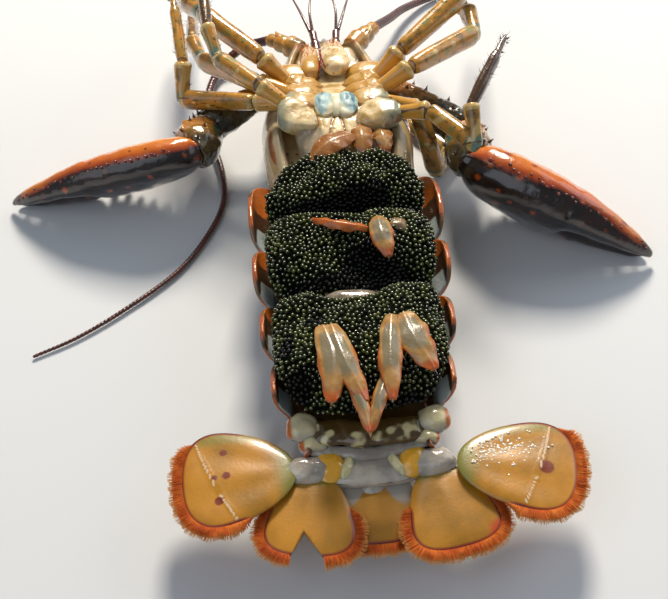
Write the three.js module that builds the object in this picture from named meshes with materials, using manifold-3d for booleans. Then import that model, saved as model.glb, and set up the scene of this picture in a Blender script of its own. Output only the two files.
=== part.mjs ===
// American lobster, an egg-bearing female, laid on its back as a life-size model.
// Millimetres. The belly faces +Z, the head points along +Y and the animal's left side is +X.
// The origin is on the flat of the carapace's back, at floor level.

import * as THREE from 'three';
import { mergeVertices } from 'three/addons/utils/BufferGeometryUtils.js';
import Module from 'manifold-3d';

const wasm = await Module();
wasm.setup();

// Driving dimensions. Every other length is stated in hundredths of the carapace.
const CARAPACE_LENGTH = 100;
const GAP = 0.3;
const len = (hundredths) => (hundredths * CARAPACE_LENGTH) / 100;

const FLOOR = 0;
const CARAPACE_REAR = len(-30);
const EYE_SOCKET = CARAPACE_REAR + CARAPACE_LENGTH;
const ABDOMEN_FRONT = CARAPACE_REAR - GAP;
const ABDOMEN_LENGTHS = [6.5, 25.2, 24.6, 23.6, 21.4, 15.4];
const ABDOMEN_REAR = ABDOMEN_FRONT - len(ABDOMEN_LENGTHS.reduce((sum, long) => sum + long, 0));
const RIGHT = -1;
const LEFT = 1;

// Materials

const paint = (color, roughness = 0.35, metalness = 0) =>
  new THREE.MeshStandardMaterial({ color, roughness, metalness });
const shellOrange = paint('#c0641f');
const shellOlive = paint('#6b5a2c');
const bellyCream = paint('#d6bb8a');
const legOchre = paint('#c08a35');
const receptacleBlue = paint('#86b8c4');
const eggGreen = paint('#141a12', 0.25);
const fanAmber = paint('#c98a1e', 0.25);
const membraneGrey = paint('#a39a86', 0.25);
const leafTan = paint('#c98a58');
const whipMaroon = paint('#4a1f1c');
const eyeBlack = paint('#0b0b0c', 0.1);

const model = new THREE.Group();

// Small tools

const v3 = (x, y, z) => new THREE.Vector3(x, y, z);
const rad = THREE.MathUtils.degToRad;
const lerp = THREE.MathUtils.lerp;

// A seeded draw, so that each build is the same
function seeded(seed) {
  let state = seed;
  return (low, high) => {
    state = (Math.imul(state, 1664525) + 1013904223) >>> 0;
    return low + ((high - low) * state) / 4294967296;
  };
}

// A smooth value through a few [place, value] pairs
function through(pairs, place) {
  const last = pairs.length - 1;
  if (place <= pairs[0][0]) return pairs[0][1];
  if (place >= pairs[last][0]) return pairs[last][1];
  let i = 0;
  while (place > pairs[i + 1][0]) i += 1;
  const slope = (k) => {
    const a = pairs[Math.max(k - 1, 0)];
    const b = pairs[Math.min(k + 1, last)];
    return (b[1] - a[1]) / (b[0] - a[0]);
  };
  const [x0, y0] = pairs[i];
  const [x1, y1] = pairs[i + 1];
  const span = x1 - x0;
  const t = (place - x0) / span;
  const rise = t * t * (3 - 2 * t);
  const in0 = t * (1 - t) * (1 - t) * span * slope(i);
  const in1 = t * t * (1 - t) * span * slope(i + 1);
  return lerp(y0, y1, rise) + in0 - in1;
}

// A direction from two angles: turn is from sideways towards the head, lift is towards +Z
function aim(side, turn, lift) {
  const flat = Math.cos(rad(lift));
  return v3(side * flat * Math.cos(rad(turn)), flat * Math.sin(rad(turn)), Math.sin(rad(lift)));
}

// Solids

function solidOf(geometry) {
  const plain = new THREE.BufferGeometry();
  plain.setAttribute('position', geometry.getAttribute('position').clone());
  if (geometry.index) plain.setIndex(geometry.index.clone());
  const merged = mergeVertices(plain, 1e-4);
  const mesh = new wasm.Mesh({
    numProp: 3,
    vertProperties: new Float32Array(merged.getAttribute('position').array),
    triVerts: new Uint32Array(merged.index.array),
  });
  return new wasm.Manifold(mesh);
}

function meshFrom(positions, triangles) {
  const corners = positions.map((p) => [p.x, p.y, p.z]);
  let volume = 0;
  for (const [a, b, c] of triangles) {
    volume += positions[a].dot(positions[b].clone().cross(positions[c]));
  }
  const wound = volume < 0 ? triangles.map(([a, b, c]) => [a, c, b]) : triangles;
  const geometry = new THREE.BufferGeometry();
  geometry.setAttribute('position', new THREE.Float32BufferAttribute(corners.flat(), 3));
  geometry.setIndex(wound.flat());
  return solidOf(geometry);
}

// Triangles that fill a flat ring, wound the way the ring runs
function capOf(ring) {
  if (ring.length < 3) return [];
  const normal = v3(0, 0, 0);
  ring.forEach((p, i) => normal.add(p.clone().cross(ring[(i + 1) % ring.length])));
  normal.normalize();
  const across = ring[0].clone().sub(ring[Math.floor(ring.length / 2)]);
  across.addScaledVector(normal, -across.dot(normal)).normalize();
  const over = normal.clone().cross(across);
  const flat = ring.map((p) => new THREE.Vector2(p.dot(across), p.dot(over)));
  return THREE.ShapeUtils.triangulateShape(flat, []).map(([a, b, c]) => {
    const turn = flat[b].clone().sub(flat[a]).cross(flat[c].clone().sub(flat[a]));
    return turn < 0 ? [a, c, b] : [a, b, c];
  });
}

// A closed skin through rings of equal count; a ring of one point is a pole
function loft(rings) {
  const positions = [];
  const triangles = [];
  const starts = rings.map((ring) => {
    const start = positions.length;
    positions.push(...ring);
    return start;
  });
  const sides = Math.max(...rings.map((ring) => ring.length));
  for (let r = 0; r + 1 < rings.length; r += 1) {
    for (let i = 0; i < sides; i += 1) {
      const j = (i + 1) % sides;
      const [a, b] = rings[r].length === 1 ? [0, 0] : [i, j];
      const [c, d] = rings[r + 1].length === 1 ? [0, 0] : [i, j];
      if (c !== d) triangles.push([starts[r] + a, starts[r + 1] + d, starts[r + 1] + c]);
      if (a !== b) triangles.push([starts[r] + a, starts[r] + b, starts[r + 1] + d]);
    }
  }
  const last = rings.length - 1;
  for (const [a, b, c] of capOf(rings[0])) triangles.push([starts[0] + a, starts[0] + c, starts[0] + b]);
  for (const [a, b, c] of capOf(rings[last])) triangles.push([starts[last] + a, starts[last] + b, starts[last] + c]);
  return meshFrom(positions, triangles);
}

// A rounded ring about a point: power 2 is an ellipse, more is squarer
function ringAt(centre, across, over, halfAcross, halfOver, sides, power = 2) {
  const ring = [];
  for (let i = 0; i < sides; i += 1) {
    const turn = (2 * Math.PI * (i + 0.5)) / sides;
    const c = Math.cos(turn);
    const s = Math.sin(turn);
    const u = Math.sign(c) * Math.abs(c) ** (2 / power) * halfAcross;
    const w = Math.sign(s) * Math.abs(s) ** (2 / power) * halfOver;
    ring.push(centre.clone().addScaledVector(across, u).addScaledVector(over, w));
  }
  return ring;
}

// A bent, tapered limb through stations {at, wide, high}; over says which way its height lies
function limb(stations, over = v3(0, 0, 1), sides = 8, power = 2) {
  const rings = stations.map((station, i) => {
    const before = stations[Math.max(i - 1, 0)].at;
    const after = stations[Math.min(i + 1, stations.length - 1)].at;
    const along = after.clone().sub(before).normalize();
    const across = along.clone().cross(over).normalize();
    const up = across.clone().cross(along).normalize();
    return ringAt(station.at, across, up, station.wide, station.high, sides, power);
  });
  return loft(rings);
}

function ball(centre, rx, ry, rz, around = 10, down = 6) {
  const shape = new THREE.SphereGeometry(1, around, down);
  shape.rotateX(Math.PI / 2);
  shape.scale(rx, ry, rz);
  shape.translate(centre.x, centre.y, centre.z);
  return solidOf(shape);
}

function spine(root, direction, length, radius) {
  const along = direction.clone().normalize();
  const hint = Math.abs(along.z) > 0.9 ? v3(1, 0, 0) : v3(0, 0, 1);
  const across = along.clone().cross(hint).normalize();
  const over = across.clone().cross(along);
  const foot = root.clone().addScaledVector(along, -radius);
  return loft([ringAt(foot, across, over, radius, radius, 5), [root.clone().addScaledVector(along, length)]]);
}

// Slivers left by cuts go when no point moves by more than this
const FACET_SLACK = len(0.17);

function largest(shape) {
  const bodies = shape.decompose();
  return bodies.reduce((best, body) => (body.volume() > best.volume() ? body : best));
}

const join = (...pieces) => largest(wasm.Manifold.union(pieces.flat()));
const cut = (body, ...tools) => largest(tools.flat().reduce((rest, tool) => rest.subtract(tool), body));
const onFloor = (body) => largest(body.trimByPlane([0, 0, 1], FLOOR));

// Keeps the side of a plane that the normal points to, a little away from it
function beyond(body, point, normal, away = GAP / 2) {
  const n = normal.clone().normalize();
  return largest(body.trimByPlane([n.x, n.y, n.z], n.dot(point) + away));
}

const behind = (body, point, normal) => beyond(body, point, normal.clone().negate());

// Cuts a body back from its neighbours by the gap, whichever way they lie
const CLEARANCE = len(0.42);
const NUDGES = [-1, 0, 1].flatMap((x) => [-1, 0, 1].flatMap((y) => [-1, 0, 1].map((z) => v3(x, y, z))))
  .filter((way) => way.lengthSq() === 1 || way.lengthSq() === 3)
  .map((way) => way.setLength(CLEARANCE).toArray());
const clearOf = (body, ...others) =>
  cut(body, others.flat().flatMap((other) => NUDGES.map((nudge) => other.translate(nudge))));

function addNode(name, shape, material) {
  const data = largest(shape.simplify(FACET_SLACK)).getMesh();
  const geometry = new THREE.BufferGeometry();
  geometry.setAttribute('position', new THREE.Float32BufferAttribute(data.vertProperties, 3));
  geometry.setIndex(new THREE.Uint32BufferAttribute(data.triVerts, 1));
  const mesh = new THREE.Mesh(geometry, material);
  mesh.name = name;
  model.add(mesh);
}

const sideName = (side) => (side === RIGHT ? 'right' : 'left');

// A closed section from half of it, given as [share of half width, share of height]
function mirroredRing(half, y, halfWidth, low, high) {
  const right = half.map(([fx, fz]) => v3(fx * halfWidth, y, lerp(low, high, fz)));
  const left = [...half].reverse().map(([fx, fz]) => v3(-fx * halfWidth, y, lerp(low, high, fz)));
  return [...right, ...left];
}

// Carapace

const CARAPACE_HALF = [
  [0.2, 0], [0.46, 0.02], [0.69, 0.1], [0.87, 0.26], [0.97, 0.46], [1, 0.64],
  [0.955, 0.82], [0.87, 0.95], [0.785, 1], [0.71, 0.95], [0.68, 0.84], [0.3, 0.82],
];
const CARAPACE_WIDTH = [[-30, 27.5], [-18, 29.5], [5, 30.5], [28, 28.5], [46, 24], [60, 19], [70, 15]];
const CARAPACE_BACK = [[-30, 1.4], [-24, 0], [42, 0], [56, 1.8], [70, 5]];
const CARAPACE_LIP = [[-30, 37.5], [-12, 41], [2, 37], [14, 33.5], [24, 29], [34, 26], [48, 25], [60, 24.5], [70, 23.5]];
const TROUGH_SHARE = 0.82;
const CERVICAL_GROOVE = 21;
const GROOVE_DEPTH = 0.045;

const carapaceLow = (h) => (h > -24 && h < 42 ? FLOOR : len(through(CARAPACE_BACK, h)));
const carapaceLip = (h) => len(through(CARAPACE_LIP, h));
const troughFloor = (h) => lerp(carapaceLow(h), carapaceLip(h), TROUGH_SHARE);

function carapaceShell() {
  const places = [-30, -28.5, -24, -14, -3, 8, 16, 19.5, CERVICAL_GROOVE, 22.5, 27, 36, 46, 54, 62, 70];
  const rings = places.map((h) => {
    const pinch = h === CERVICAL_GROOVE ? 1 - GROOVE_DEPTH : 1;
    const edge = h === -30 ? 0.985 : 1;
    const halfWidth = len(through(CARAPACE_WIDTH, h)) * pinch * edge;
    return mirroredRing(CARAPACE_HALF, len(h), halfWidth, carapaceLow(h), carapaceLip(h));
  });
  return loft(rings);
}

const ROSTRUM_STATIONS = [[58, 10, 4, 7.2], [70, 6.6, 3.2, 7], [80, 4.4, 2.4, 6], [90, 2.6, 1.5, 4.8], [95.6, 0.5, 0.4, 3.6]];
const ROSTRUM_SPINES = [[79, 4.4], [85, 3.4], [90.5, 2.4]];

function rostrum() {
  const body = limb(
    ROSTRUM_STATIONS.map(([y, wide, high, z]) => ({ at: v3(0, len(y), len(z)), wide: len(wide), high: len(high) })),
  );
  const teeth = [LEFT, RIGHT].flatMap((side) =>
    ROSTRUM_SPINES.map(([y, x]) => spine(v3(side * len(x - 0.8), len(y), len(5)), v3(side * 0.55, 1, -0.1), len(3.4), len(1))),
  );
  const brow = [LEFT, RIGHT].map((side) => spine(v3(side * len(12.6), len(68), len(6.5)), v3(side * 0.2, 1, -0.05), len(5), len(1.3)));
  return [body, ...teeth, ...brow];
}

addNode('carapace', join(carapaceShell(), rostrum()), shellOlive);

// Underside of the thorax, with a hip plate for each pair of legs

const STERNUM_WIDTH = [[-27, 15], [-9, 17.5], [12, 16.5], [30, 14.5], [48, 11]];
const STERNUM_TOP = [[-27, 42], [-9, 46], [1, 44.5], [11, 41], [20, 38], [30, 34.5], [40, 31.5], [48, 29.5]];
const sternumTop = (h) => len(through(STERNUM_TOP, h));

// Hip plates from the fifth pair of legs forward to the claws
const HIPS = {
  5: { y: -8, x: 16, rx: 8.2, ry: 7.2, rz: 4.6 },
  4: { y: 2.5, x: 13.8, rx: 6.6, ry: 5.6, rz: 4.6 },
  3: { y: 12, x: 13.2, rx: 6.4, ry: 5.4, rz: 4.4 },
  2: { y: 21, x: 12.8, rx: 6.2, ry: 5.4, rz: 4.4 },
  1: { y: 31, x: 12.6, rx: 7.2, ry: 6.4, rz: 5.2 },
};

function hipCentre(pair, side) {
  const hip = HIPS[pair];
  return v3(side * len(hip.x), len(hip.y), sternumTop(hip.y) - len(1.2));
}

// The first direction of each limb, as it leaves its hip
const HIP_AIM = {
  [RIGHT]: { 5: [62, 12], 4: [25, -8], 3: [35, 0], 2: [28, 18], 1: [12, -16] },
  [LEFT]: { 5: [-2, 4], 4: [2, -4], 3: [16, 14], 2: [28, 18], 1: [-8, -16] },
};
const HIP_REACH = { 5: 9.5, 4: 8, 3: 7.6, 2: 7.6, 1: 9.5 };
const HIP_COLLAR = { 5: 3.6, 4: 3.5, 3: 3.5, 2: 3.5, 1: 6 };

function limbRoot(pair, side) {
  const [turn, lift] = HIP_AIM[side][pair];
  return hipCentre(pair, side).addScaledVector(aim(side, turn, lift), len(HIP_REACH[pair]));
}

function hipPlate(pair, side) {
  const { rx, ry, rz } = HIPS[pair];
  const centre = hipCentre(pair, side);
  const way = aim(side, ...HIP_AIM[side][pair]);
  const at = (share) => centre.clone().addScaledVector(way, len(rx) * share);
  const collar = len(HIP_COLLAR[pair]);
  return limb([
    { at: at(-0.8), wide: len(ry) * 0.5, high: len(rz) * 0.6 },
    { at: at(0.1), wide: len(ry), high: len(rz) },
    { at: at(0.8), wide: Math.max(collar * 1.15, len(ry) * 0.75), high: collar * 1.05 },
    { at: limbRoot(pair, side), wide: collar, high: collar * 0.92 },
  ]);
}

function sternum() {
  const rings = [-24.5, -9, 1, 11, 20, 30, 40, 48].map((h) => {
    const half = len(through(STERNUM_WIDTH, h));
    const top = sternumTop(h);
    const low = troughFloor(h) + GAP;
    const outline = [[1, low], [1, top - len(4)], [0.72, top - len(1.2)], [0.25, top]];
    const left = outline.map(([f, z]) => v3(f * half, len(h), z));
    const right = [...outline].reverse().map(([f, z]) => v3(-f * half, len(h), z));
    return [...left, ...right];
  });
  const pieces = [loft(rings)];
  for (const side of [RIGHT, LEFT]) {
    for (const pair of [1, 2, 3, 4, 5]) pieces.push(hipPlate(pair, side));
  }
  return join(pieces);
}

const sternumSolid = sternum();
const carapaceClear = carapaceShell();
addNode('sternum', clearOf(sternumSolid, carapaceClear), bellyCream);

const RECEPTACLE = { x: 4.3, y: -1.5, rx: 3.6, ry: 5.8, rz: 3 };

function receptacle() {
  const at = (x) => v3(len(x), len(RECEPTACLE.y), sternumTop(RECEPTACLE.y));
  const ovals = [-1, 1].map((s) => ball(at(s * RECEPTACLE.x), len(RECEPTACLE.rx), len(RECEPTACLE.ry), len(RECEPTACLE.rz)));
  const bridge = ball(at(0), len(3.2), len(3.4), len(1.9));
  return cut(join(ovals, bridge), sternumSolid.translate([0, 0, GAP]));
}

addNode('seminal_receptacle', receptacle(), receptacleBlue);

// Third maxillipeds, folded over the mouth

const MAXILLIPED = [
  [33, 6.4, 37.2, 3.4, 2.6], [41, 6.6, 36, 4.3, 3.3], [50, 6, 34, 4.3, 3.4], [59, 6, 31.2, 3.9, 3.2], [65, 7, 27.6, 3.2, 2.8],
  [68.5, 8.4, 23.4, 2.4, 2.2],
];

// The left one lies over the middle and the right one is tucked beside it
const MAXILLIPED_LIE = {
  [RIGHT]: { shift: -1.6, drop: 2.2, size: 0.82 },
  [LEFT]: { shift: -3.2, drop: 0.5, size: 1.14 },
};

function maxilliped(side) {
  const { shift, drop, size } = MAXILLIPED_LIE[side];
  const stations = MAXILLIPED.map(([y, x, z, wide, high]) => ({
    at: v3(len(side * x + shift), len(y), len(z - drop)), wide: len(wide * size), high: len(high),
  }));
  const pieces = [limb(stations, v3(0, 0.4, 1))];
  for (let i = 0; i < 5; i += 1) {
    const y = lerp(35, 48, i / 4);
    const root = v3(len(side * (6.4 - 3.6 * size) + shift), len(y), len(38.4 - drop - 0.22 * (y - 33)));
    pieces.push(spine(root, v3(-side * 0.8, 0.2, 0.7), len(2.2), len(0.8)));
  }
  return join(pieces);
}

const upperJawLeg = clearOf(maxilliped(LEFT), sternumSolid, carapaceClear);
const lowerJawLeg = clearOf(maxilliped(RIGHT), sternumSolid, carapaceClear, upperJawLeg);
addNode('maxilliped_right', lowerJawLeg, bellyCream);
addNode('maxilliped_left', upperJawLeg, bellyCream);

// Eyes, antennules and antennae

for (const side of [RIGHT, LEFT]) {
  const socket = v3(side * len(9.2), EYE_SOCKET + GAP, len(8));
  const outward = v3(side * 0.42, 0.9, 0.08).normalize();
  const globe = socket.clone().addScaledVector(outward, len(7.4));
  const stalk = limb([
    { at: socket, wide: len(2.2), high: len(2.2) },
    { at: socket.clone().addScaledVector(outward, len(3)), wide: len(2.6), high: len(2.6) },
    { at: globe, wide: len(3), high: len(3) },
  ]);
  const eye = join(stalk, ball(globe, len(3.9), len(3.9), len(3.9), 10, 7));
  addNode(`eye_${sideName(side)}`, beyond(eye, v3(0, EYE_SOCKET + GAP / 2, 0), v3(0, 1, 0)), eyeBlack);
}

function flagellum(points, baseRadius, tipRadius, steps, sides = 5) {
  const curve = new THREE.CatmullRomCurve3(points);
  const stations = [];
  for (let i = 0; i <= steps; i += 1) {
    const t = i / steps;
    const r = lerp(baseRadius, tipRadius, t ** 0.8);
    stations.push({ at: curve.getPointAt(t), wide: r, high: r });
  }
  return limb(stations, v3(0, 0, 1), sides);
}

for (const side of [RIGHT, LEFT]) {
  const root = v3(side * len(4.2), EYE_SOCKET + GAP, len(16));
  const end = v3(side * len(5.4), len(84), len(17));
  const stalk = limb([
    { at: root, wide: len(2.2), high: len(2) },
    { at: root.clone().lerp(end, 0.5), wide: len(1.9), high: len(1.8) },
    { at: end, wide: len(1.5), high: len(1.4) },
  ]);
  const inner = flagellum([end.clone().add(v3(0, -1, 0)), v3(side * len(6), len(96), len(20)), v3(side * len(4), len(112), len(20))], len(0.8), len(0.35), 5, 4);
  const outer = flagellum([end.clone().add(v3(side, -1, 0)), v3(side * len(10), len(97), len(18)), v3(side * len(14), len(114), len(16))], len(0.9), len(0.35), 5, 4);
  const antennule = join(stalk, inner, outer);
  addNode(`antennule_${sideName(side)}`, beyond(antennule, v3(0, EYE_SOCKET + GAP / 2, 0), v3(0, 1, 0)), whipMaroon);
}

// Each antenna's stalk ends here, and the whip goes on from it
const ANTENNA_ROOT = [10.8, 17.6];
const ANTENNA_STALK = { [RIGHT]: [-25, 83.5, 14.5], [LEFT]: [23, 87, 15] };

function antennaBase(side) {
  const root = v3(side * len(ANTENNA_ROOT[0]), EYE_SOCKET + GAP, len(ANTENNA_ROOT[1]));
  const [x, y, z] = ANTENNA_STALK[side];
  const end = v3(len(x), len(y), len(z));
  const at = (t) => root.clone().lerp(end, t);
  const stalk = limb([
    { at: root, wide: len(4.6), high: len(4.4) },
    { at: at(0.35), wide: len(5), high: len(4.6) },
    { at: at(0.42), wide: len(4.2), high: len(4) },
    { at: at(0.72), wide: len(3.8), high: len(3.6) },
    { at: at(0.78), wide: len(3.1), high: len(3) },
    { at: end, wide: len(2.9), high: len(2.8) },
  ], v3(0, 0, 1), 10);
  const blade = spine(at(0.2).add(v3(side * len(3), 0, len(1))), v3(side * 0.55, 1, 0.1), len(12), len(2.6));
  return beyond(join(stalk, blade), v3(0, EYE_SOCKET + GAP / 2, 0), v3(0, 1, 0));
}

const WHIP_ROUTE = {
  [RIGHT]: [[-38, 86, 9], [-49, 78, 4.4], [-55, 60, 2.3], [-54, 36, 2.1], [-49, 10, 1.9], [-49, -8, 1.8],
    [-56.5, -27, 1.6], [-68, -44, 1.5], [-89, -62, 1.3], [-106, -73.5, 1.1], [-122, -81, 0.9]],
  [LEFT]: [[31, 98, 11], [40, 112, 6], [54, 124, 2.4], [76, 133, 2.2], [104, 138, 2], [134, 136, 1.7],
    [160, 126, 1.4], [180, 110, 1]],
};
const WHIP_BASE_RADIUS = len(2.3);
const WHIP_TIP_RADIUS = len(0.6);
const WHIP_STEPS = 26;

for (const side of [RIGHT, LEFT]) {
  const base = antennaBase(side);
  const end = v3(...ANTENNA_STALK[side].map(len));
  const route = [end, ...WHIP_ROUTE[side].map((p) => v3(...p.map(len)))];
  const whip = flagellum(route, WHIP_BASE_RADIUS, WHIP_TIP_RADIUS, WHIP_STEPS);
  const away = route[1].clone().sub(end).normalize();
  addNode(`antenna_base_${sideName(side)}`, behind(base, end, away), legOchre);
  addNode(`antenna_whip_${sideName(side)}`, onFloor(beyond(whip, end, away)), whipMaroon);
}

// Walking legs: each has an upper node to the knee and a lower node from it to the tip.
// Steps are [turn, lift] pairs for the ischium, merus, carpus, propodus and dactyl.

const LEG_STEPS = {
  [RIGHT]: {
    5: [[25, 29], [51, -3], [74, 26], [86, 10], [92, -6]],
    4: [[23, -12], [23, -12], [98, 51], [84, 20], [82, 6]],
    3: [[34, -2], [50, -14], [74, -8], [88, -14], [96, -26]],
    2: [[33, 36], [50, 4], [64, -14], [76, -34], [84, -50]],
  },
  [LEFT]: {
    5: [[-21, 18], [-54, 0], [95, 42], [59, 15], [62, 8]],
    4: [[-4, -20], [-25, -74], [58, -2], [130, -2], [124, -6]],
    3: [[16, 27], [39, -6], [91, -4], [112, -16], [120, -34]],
    2: [[27, 36], [42, 10], [60, -10], [76, -30], [84, -48]],
  },
};
const LEG_LENGTHS = {
  5: [12, 26, 15, 25, 11],
  4: [13, 34, 15, 27, 11],
  3: [13, 39, 17, 30, 13],
  2: [13, 38, 16, 29, 13],
};
const LEG_HALF_HEIGHT = { 5: 3.9, 4: 4.1, 3: 4.5, 2: 4.7 };
const LEG_FLATNESS = 0.78;
const SHARP_BEND = 0.1;

// The bent line of a leg, from its hip to its tip
function legJoints(pair, side) {
  const joints = [limbRoot(pair, side)];
  LEG_STEPS[side][pair].forEach(([turn, lift], i) => {
    joints.push(joints[i].clone().addScaledVector(aim(side, turn, lift), len(LEG_LENGTHS[pair][i])));
  });
  return joints;
}

function leg(pair, side, draw) {
  const [hip, second, knee, third, wrist, tip] = legJoints(pair, side);
  const high = len(LEG_HALF_HEIGHT[pair]);
  const out = aim(side, ...HIP_AIM[side][pair]);
  const merus = knee.clone().sub(second).normalize();
  const carpus = third.clone().sub(knee).normalize();
  const hand = wrist.clone().sub(third).normalize();
  const over = merus.clone().cross(v3(0, 0, 1)).cross(merus).normalize();
  const fold = merus.clone().add(carpus).normalize();
  const sharp = merus.dot(carpus) < SHARP_BEND;
  const past = (high * 1.2) / knee.distanceTo(second);
  const back = (high * 1.2) / knee.distanceTo(third);
  const on = (from, to, share, size) => ({
    at: from.clone().lerp(to, share), wide: high * size * LEG_FLATNESS, high: high * size,
  });

  const upper = [limb([
    { at: hip.clone().addScaledVector(out, -len(1.5)), wide: high * 0.74, high: high * 0.78 },
    on(hip, second, 0.55, 0.86),
    on(hip, second, 0.94, 0.98),
    on(second, knee, 0.06, 0.8),
    on(second, knee, 0.18, 0.94),
    on(second, knee, 0.5, 1),
    on(second, knee, 0.86, 0.96),
    on(second, knee, sharp ? 1 : 1 + past, sharp ? 0.8 : 0.86),
  ], over)];
  const lowerStations = [
    on(knee, third, sharp ? 0 : -back, 0.8),
    on(knee, third, 0.3, 0.84),
    on(knee, third, 0.86, 0.94),
    on(third, wrist, 0.03, 0.68),
    on(third, wrist, 0.2, 0.78),
    on(third, wrist, 0.7, 0.7),
    on(third, wrist, 1, 0.56),
  ];
  const lower = [];
  const spread = hand.clone().cross(over).normalize();
  if (pair <= 3) {
    // A small pincer: the propodus runs on as one finger, and the other lies beside it
    const beside = (share, way) => on(wrist, tip, share, 0).at.addScaledVector(spread, len(way));
    lowerStations[6].wide *= 1.25;
    const finger = (way) => [
      { at: beside(-0.15, way), wide: high * 0.28, high: high * 0.4 },
      { at: beside(0.55, way * 0.85), wide: high * 0.2, high: high * 0.26 },
      { at: beside(1, way * 0.35), wide: len(0.3), high: len(0.35) },
    ];
    lower.push(limb(finger(1.15), over, 6), limb(finger(-1.15), over, 6));
  } else {
    lowerStations.push(on(wrist, tip, 0.06, 0.46), on(wrist, tip, 0.5, 0.36), on(wrist, tip, 1, 0.08));
  }
  lower.push(limb(lowerStations, over));
  for (let i = 0; i < (pair > 3 ? 5 : 1); i += 1) {
    const root = third.clone().lerp(wrist, 0.12 + 0.18 * i).addScaledVector(spread, -high * 0.5);
    lower.push(spine(root, spread.clone().negate().addScaledVector(hand, 0.6), len(draw(1.8, 2.6)), len(0.7)));
  }
  if (sharp) {
    const bend = ball(knee, high * 0.82, high * 0.82, high * 0.82, 8, 6);
    upper.push(bend);
    lower.push(bend);
  }
  return [behind(beyond(join(upper), hip, out, GAP), knee, fold), onFloor(beyond(join(lower), knee, fold))];
}

const legDraw = seeded(41);
for (const side of [RIGHT, LEFT]) {
  for (const pair of [2, 3, 4, 5]) {
    const [upper, lower] = leg(pair, side, legDraw);
    addNode(`leg_${pair}_${sideName(side)}_upper`, clearOf(upper, sternumSolid), legOchre);
    addNode(`leg_${pair}_${sideName(side)}_lower`, lower, legOchre);
  }
}

// Claws: an arm, a wrist, a palm with its fixed finger, and a moving finger.
// In the claw's own frame a runs to the tip, b towards the moving finger and c across the flat.

const CLAWS = {
  [RIGHT]: { elbow: [-55, 18, 21], wrist: [-57.5, -4, 29], tip: [-137, 0.5, 2.4], half: 15, thick: 8.8, bumps: 6 },
  [LEFT]: { elbow: [54, 6, 21], wrist: [51.5, -20, 28], tip: [120.5, -54, 3], half: 18, thick: 11.2, bumps: 5 },
};
// Which way the moving finger lies: away from the tail and down to the floor
const INNER_SIDE = [0, 0.55, -0.83];

// Palm and fixed finger: share of length, outer edge, inner edge and half thickness as shares
const PALM = [
  [0.0, -0.36, 0.36, 0.62], [0.05, -0.62, 0.62, 0.86], [0.16, -0.9, 0.92, 0.98], [0.34, -1, 1.04, 1],
  [0.48, -0.98, 0.98, 0.94], [0.53, -0.96, 0.9, 0.88], [0.537, -0.96, -0.1, 0.8], [0.66, -0.84, -0.14, 0.64],
  [0.8, -0.62, -0.12, 0.48], [0.93, -0.34, -0.08, 0.3], [1.0, -0.1, 0.02, 0.1],
];
const FINGER = [
  [0.5408, 0.02, 0.84, 0.62], [0.6, 0, 0.9, 0.7], [0.7, -0.02, 0.84, 0.6], [0.82, 0, 0.6, 0.44],
  [0.92, 0.02, 0.34, 0.28], [0.975, 0.04, 0.14, 0.1],
];

function clawFrame(side) {
  const claw = CLAWS[side];
  const wrist = v3(...claw.wrist.map(len));
  const reach = v3(...claw.tip.map(len)).sub(wrist);
  const long = reach.length();
  const a = reach.normalize();
  const inner = v3(...INNER_SIDE);
  const b = inner.addScaledVector(a, -inner.dot(a)).normalize();
  const c = a.clone().cross(b);
  const at = (along, toInner, across) =>
    wrist.clone().addScaledVector(a, along).addScaledVector(b, toInner).addScaledVector(c, across);
  return { claw, a, b, c, wrist, long, at };
}

function clawLoft(side, table, sides) {
  const { claw, b, c, long, at } = clawFrame(side);
  const rings = table.map(([along, outer, inner, thick]) => {
    const halfB = (len(claw.half) * (inner - outer)) / 2;
    const centre = at(long * along, (len(claw.half) * (inner + outer)) / 2, 0);
    return ringAt(centre, b, c, halfB, len(claw.thick) * thick, sides, 2.4);
  });
  return loft(rings);
}

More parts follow.
